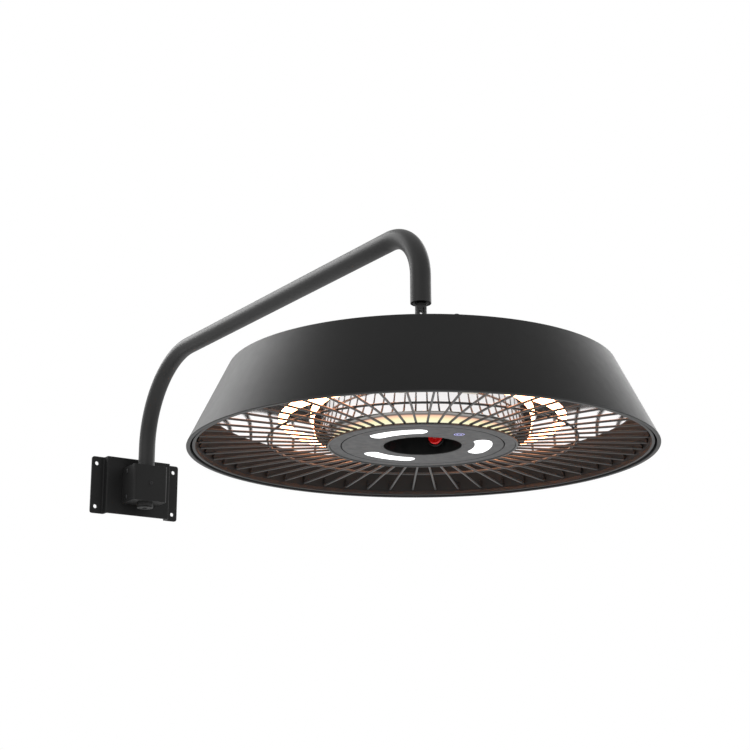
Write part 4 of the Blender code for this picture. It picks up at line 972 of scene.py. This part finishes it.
def vent_outline():
    """Return a radial slot with round ends, as points in the plane."""
    half, end, steps = VENT_LENGTH / 2, VENT_WIDTH / 2, 12
    turns = [math.pi * (step / steps - 0.5) for step in range(steps + 1)]
    points = [(VENT_ORBIT + half + end * math.cos(t), end * math.sin(t)) for t in turns]
    points += [(VENT_ORBIT - half - end * math.cos(t), -end * math.sin(t)) for t in turns]
    return points


def screw_angles():
    """Return the angles of the cover's screws, turned by half a facet of the CAD's shade."""
    return [math.tau * (index + 0.5) / TOP_SCREW_COUNT + math.pi / TOP_SCREW_FACETS
            for index in range(TOP_SCREW_COUNT)]


def screw_mesh(shank_radius, shank, head_radius, head):
    """Return a dome-headed screw with a hexagon socket: its head above local Z = 0."""
    dome = [(head_radius * math.cos(t), head * math.sin(t))
            for t in (math.radians(90) * step / 8 for step in range(9))]
    profile = [(0, -shank), (shank_radius - 0.0004, -shank), (shank_radius, 0.0006 - shank),
               (shank_radius, 0), *dome[:-1], (0, head)]
    socket_mesh = turned_mesh([(0, 0.35 * head), (0.45 * head_radius, 0.35 * head),
                               (0.45 * head_radius, 2 * head), (0, 2 * head)], 6)
    return carved(turned_mesh(profile, SMALL), [socket_mesh])


# Arm and swivel


def arm_path():
    """Return the tube's centreline, from the post's foot to the drop's end."""
    end = HEAD_MIDDLE.y
    corners = [(0, -AXIS_OFFSET, POST_BOTTOM), (0, -AXIS_OFFSET, ARM_HEIGHT), (0, end, ARM_HEIGHT),
               (0, end, DROP_END)]
    return rounded(corners, [0, POST_BEND, DROP_BEND, 0], closed=False, steps=48)


def make_arm():
    """Bent tube, the cap on the post's foot and the plug in the drop's end."""
    mesh = pipe_mesh(arm_path(), TUBE_RADIUS, TUBE_WALL, TUBE_EDGE, TUBE_RING)
    dress(add("arm_pipe", mesh, TUBE_BLACK), "arm", "tube_black", "arm_tube")
    seat, top = POST_BOTTOM - SEAT_GAP, POST_BOTTOM + POST_CAP_DEPTH
    corners = [(POST_CAP_BORE, seat - POST_CAP_FLANGE), (TUBE_RADIUS, seat - POST_CAP_FLANGE),
               (TUBE_RADIUS, seat), (POST_CAP_STEM, seat), (POST_CAP_STEM, top), (POST_CAP_BORE, top)]
    cap = rounded(corners, [0.0005, 0.0010, 0.0003, 0, 0.0005, 0])
    dress(turned("post_cap", cap, NYLON, POST, MEDIUM), "arm", "nylon", "arm_end_cap")
    seat, top = DROP_END + SEAT_GAP, DROP_END + PLUG_DEPTH
    corners = [(PLUG_BORE, seat), (PLUG_RADIUS, seat), (PLUG_RADIUS, top), (PLUG_BORE, top)]
    plug = rounded(corners, [0.0006, 0.0008, 0, 0])
    dress(turned("drop_plug", plug, DARK_STEEL, NECK, MEDIUM), "arm", "block_steel", "drop_end_plug")


def make_swivel():
    """Slotted fork on the swivel's stem, the hanger's tang and its pin."""
    top = DROP_END - SEAT_GAP
    groove = top - FORK_LIP
    under = groove - GROOVE_WIDTH
    neck = FORK_RADIUS - GROOVE_DEPTH
    corners = [(0, FORK_BOTTOM), (FORK_RADIUS, FORK_BOTTOM), (FORK_RADIUS, under), (neck, under),
               (neck, groove), (FORK_RADIUS, groove), (FORK_RADIUS, top), (STEM_RADIUS, top),
               (STEM_RADIUS, STEM_TOP), (0, STEM_TOP)]
    profile = rounded(corners, [0, 0.0006, 0.0003, 0, 0, 0.0003, 0.0006, 0, 0.0005, 0])
    slot = box_mesh((-SLOT_HALF_WIDTH, -CUT_REACH, FORK_BOTTOM - 0.01),
                    (SLOT_HALF_WIDTH, CUT_REACH, SLOT_TOP))
    pin_place = along((0, 0, PIN_LEVEL), (1, 0, 0))
    pin_hole = moved(rod_mesh(PIN_HOLE, -CUT_REACH, CUT_REACH), pin_place)
    fork = carved(turned_mesh(profile, MEDIUM), [slot, pin_hole], 0.0003)
    dress(add("fork_body", fork, TUBE_BLACK, NECK, flat=True), "neck", "tube_black", "swivel_fork")
    head_end = PIN_HEAD_END + PIN_HEAD_HEIGHT
    corners = [(0, PIN_HEAD_END), (PIN_HEAD_RADIUS, PIN_HEAD_END), (PIN_HEAD_RADIUS, head_end),
               (PIN_RADIUS, head_end), (PIN_RADIUS, PIN_END), (0, PIN_END)]
    pin = rounded(corners, [0, 0.0008, 0.0003, 0, 0.0005, 0])
    dress(turned("pin_body", pin, DARK_STEEL, NECK @ pin_place, SMALL), "neck", "block_steel",
          "hanger_pin")
    foot = RIM_LEVEL + COVER_TOP + SEAT_GAP
    half, low = TANG_RADIUS, foot + TANG_FLANGE_HEIGHT / 2
    turns = [math.pi * step / 24 for step in range(25)]
    outline = [(half, low), *[(half * math.cos(t), TANG_CROWN + half * math.sin(t)) for t in turns],
               (-half, low)]
    side_on = Matrix.Rotation(math.radians(90), 4, "Z") @ Matrix.Rotation(math.radians(90), 4, "X")
    blade = moved(plate_mesh([outline], -TANG_HALF_THICKNESS, TANG_HALF_THICKNESS), side_on)
    flange = turned_mesh([(0, foot), (TANG_FLANGE_RADIUS, foot),
                          (TANG_FLANGE_RADIUS, foot + TANG_FLANGE_HEIGHT),
                          (0, foot + TANG_FLANGE_HEIGHT)], MEDIUM)
    eye = moved(rod_mesh(EYE_RADIUS, -CUT_REACH, CUT_REACH), along((0, 0, EYE_LEVEL), (0, 1, 0)))
    tang = carved(blade, [pin_hole, eye], 0.0004, [flange])
    dress(add("tang_body", tang, TUBE_BLACK, NECK, flat=True), "head", "tube_black", "hanger_tang")


# Wall side


def make_plate():
    """Bent plate with bend radii, rounded corners and four screw holes."""
    low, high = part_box("wall_plate")
    half, rise, front, sheet = high.x, high.z, -low.y, PLATE_SHEET
    panel = half - FLANGE_WIDTH
    corners = [(-half, 0), (-half, -sheet), (-panel, -sheet), (-panel, -front), (panel, -front),
               (panel, -sheet), (half, -sheet), (half, 0), (panel - sheet, 0),
               (panel - sheet, sheet - front), (sheet - panel, sheet - front), (sheet - panel, 0)]
    radii = [0, 0, BEND_RADIUS, BEND_RADIUS, BEND_RADIUS, BEND_RADIUS, 0, 0, BEND_RADIUS, 0.0008, 0.0008,
             BEND_RADIUS]
    section = plate_mesh([rounded(corners, radii)], -rise, rise)
    cutters = []
    for side in (-1, 1):
        for level in (-1, 1):
            place = (side * (half - HOLE_INSET_X), sheet, level * (rise - HOLE_INSET_Z))
            cutters.append(moved(rod_mesh(HOLE_RADIUS, 0, 4 * sheet), along(place, (0, -1, 0))))
    face = rounded([(-half, -rise), (half, -rise), (half, rise), (-half, rise)], [PLATE_CORNER] * 4)
    prism = moved(plate_mesh([face], -sheet, front + sheet), Matrix.Rotation(math.radians(90), 4, "X"))
    plate = carved(section, cutters, EDGE_EASE, within=[prism])
    dress(add("plate_body", plate, PLATE_BLACK, flat=True), "wall", "plate_black", "wall_plate")


def make_bracket():
    """Box cover with rounded front edges, and its screws."""
    low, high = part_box("arm_bracket")
    wall = BOX_WALL

    def front_edge(edge):
        """Say whether an edge is one of the two upright ones in front."""
        first, second = (vertex.co for vertex in edge.verts)
        return abs((second - first).normalized().z) > 0.99 and first.y < -AXIS_OFFSET

    shell = box_mesh(low, high, [(BOX_EDGE, front_edge)])
    hollow = box_mesh((low.x + wall, low.y + wall, low.z + wall),
                      (high.x - wall, high.y + wall, high.z - wall))
    bore = moved(rod_mesh(TUBE_RADIUS + 0.0006, 2 * low.z, 2 * high.z, MEDIUM), POST)
    clamp = moved(rod_mesh(CLAMP_HOLE, -wall, 2 * wall), along((0, low.y, 0), (0, 1, 0)))
    cover = carved(shell, [hollow, bore, clamp], 0.0004)
    dress(add("bracket_cover", cover, PLATE_BLACK, flat=True), "wall", "plate_black", "arm_bracket")
    for side, side_name in ((-1, "left"), (1, "right")):
        for level_name in ("lower", "upper"):
            node = f"bracket_screw_{side_name}_{level_name}"
            centre = middle(node)
            seat = along((side * (high.x + SEAT_GAP), centre.y, centre.z), (side, 0, 0))
            screw = add(f"side_screw_{side_name}_{level_name}", screw_mesh(*SIDE_SCREW), DARK_STEEL, seat)
            dress(screw, "wall", "screw_black", node)
    seat = along((0, low.y - SEAT_GAP, 0), (0, -1, 0))
    screw = add("front_screw", screw_mesh(*CLAMP_SCREW), DARK_STEEL, seat)
    dress(screw, "wall", "screw_black", "clamp_screw")


# Nodes that keep their CAD shape

KEPT_NODES = {
    "pivot_block": DARK_STEEL, "upper_bush": NYLON, "lower_bush": NYLON, "stop_collar": STEEL,
    "neck_washer": NYLON, "neck_nut": STEEL, "pin_clip": DARK_STEEL, "hub_housing": SHADE_BLACK,
    "led_board": BOARD_GREEN, "switch_body": NYLON, "control_board": BOARD_GREEN,
    "terminal_block": NYLON, "heat_shield": STEEL, "lamp_holder_1a": CERAMIC, "lamp_holder_1b": CERAMIC,
    "lamp_holder_2a": CERAMIC, "lamp_holder_2b": CERAMIC, "housing_post_1": STEEL,
    "housing_post_2": STEEL, "housing_post_3": STEEL,
}


def finish_kept_nodes():
    """Give the CAD nodes that stay their finishes."""
    for name, material in KEPT_NODES.items():
        for place in frame["nodes"][name].material_slots:
            place.material = material


# Stage


def light_world():
    """White for what the camera, mirrors and glass see, and a softer level on the object."""
    world = bpy.data.worlds.new("studio")
    bpy.context.scene.world = world
    world.use_nodes = True
    nodes, links = world.node_tree.nodes, world.node_tree.links
    white, soft = nodes["Background"], nodes.new("ShaderNodeBackground")
    for background, level in ((white, 1.0), (soft, SOFT_LEVEL)):
        background.inputs["Color"].default_value = (1, 1, 1, 1)
        background.inputs["Strength"].default_value = level
    path = nodes.new("ShaderNodeLightPath")
    seen = path.outputs["Is Camera Ray"]
    for kind in ("Is Glossy Ray", "Is Transmission Ray"):
        either = nodes.new("ShaderNodeMath")
        either.operation = "MAXIMUM"
        links.new(seen, either.inputs[0])
        links.new(path.outputs[kind], either.inputs[1])
        seen = either.outputs[0]
    mix = nodes.new("ShaderNodeMixShader")
    links.new(seen, mix.inputs["Fac"])
    links.new(soft.outputs[0], mix.inputs[1])
    links.new(white.outputs[0], mix.inputs[2])
    links.new(mix.outputs[0], nodes["World Output"].inputs["Surface"])


def area_light(name, place, target, size, power):
    """Add a soft square lamp that faces a target."""
    lamp = bpy.data.lights.new(name, "AREA")
    lamp.energy = power
    lamp.size = size
    piece = bpy.data.objects.new(name, lamp)
    piece.location = place
    piece.visible_camera = False
    piece.rotation_euler = (Vector(target) - Vector(place)).to_track_quat("-Z", "Y").to_euler()
    bpy.context.scene.collection.objects.link(piece)


def make_stage():
    """Pale floor and soft studio lamps that face the head."""
    floor = plate_mesh([circle(FLOOR_RADIUS, FINE)], FLOOR_LEVEL - FLOOR_THICKNESS, FLOOR_LEVEL)
    material = powder_coat("floor_pale", grey(0.86), grey(0.88), 0.8, 0.1, 40.0)
    seen = material.node_tree.nodes.new("ShaderNodeLightPath")
    lift = add_node(material, "ShaderNodeMath", {1: FLOOR_LIFT}, operation="MULTIPLY")
    link(material, seen.outputs["Is Camera Ray"], lift.inputs[0])
    socket(material, "Emission Color").default_value = (1, 1, 1, 1)
    link(material, lift.outputs[0], socket(material, "Emission Strength"))
    add("floor", floor, material)
    for name, place, size, power in STUDIO_LAMPS:
        area_light(name, place, HEAD.translation, size, power)


def make_camera():
    """Camera at the photograph's place and angle."""
    data = bpy.data.cameras.new("camera")
    data.lens = CAMERA_LENS
    data.sensor_width = SENSOR_WIDTH
    data.clip_start = 0.05
    data.clip_end = 100.0
    forward = CAMERA_HEADING.normalized() * math.cos(CAMERA_PITCH)
    forward += Vector((0, 0, math.sin(CAMERA_PITCH)))
    right = forward.cross(Vector((0, 0, 1))).normalized()
    up = right.cross(forward)
    right, up = (right * math.cos(CAMERA_ROLL) + up * math.sin(CAMERA_ROLL),
                 up * math.cos(CAMERA_ROLL) - right * math.sin(CAMERA_ROLL))
    matrix = Matrix((right, up, -forward)).transposed().to_4x4()
    matrix.translation = CAMERA_PLACE
    camera = bpy.data.objects.new("camera", data)
    camera.matrix_world = matrix
    bpy.context.scene.collection.objects.link(camera)
    bpy.context.scene.camera = camera


make_camera()
make_shade()
make_liner()
make_reflector()
make_hub()
make_lights()
make_button()
make_guard()
make_lamps()
make_top()
make_arm()
make_swivel()
make_plate()
make_bracket()
finish_kept_nodes()
light_world()
make_stage()
bpy.context.scene.view_settings.view_transform = "Standard"
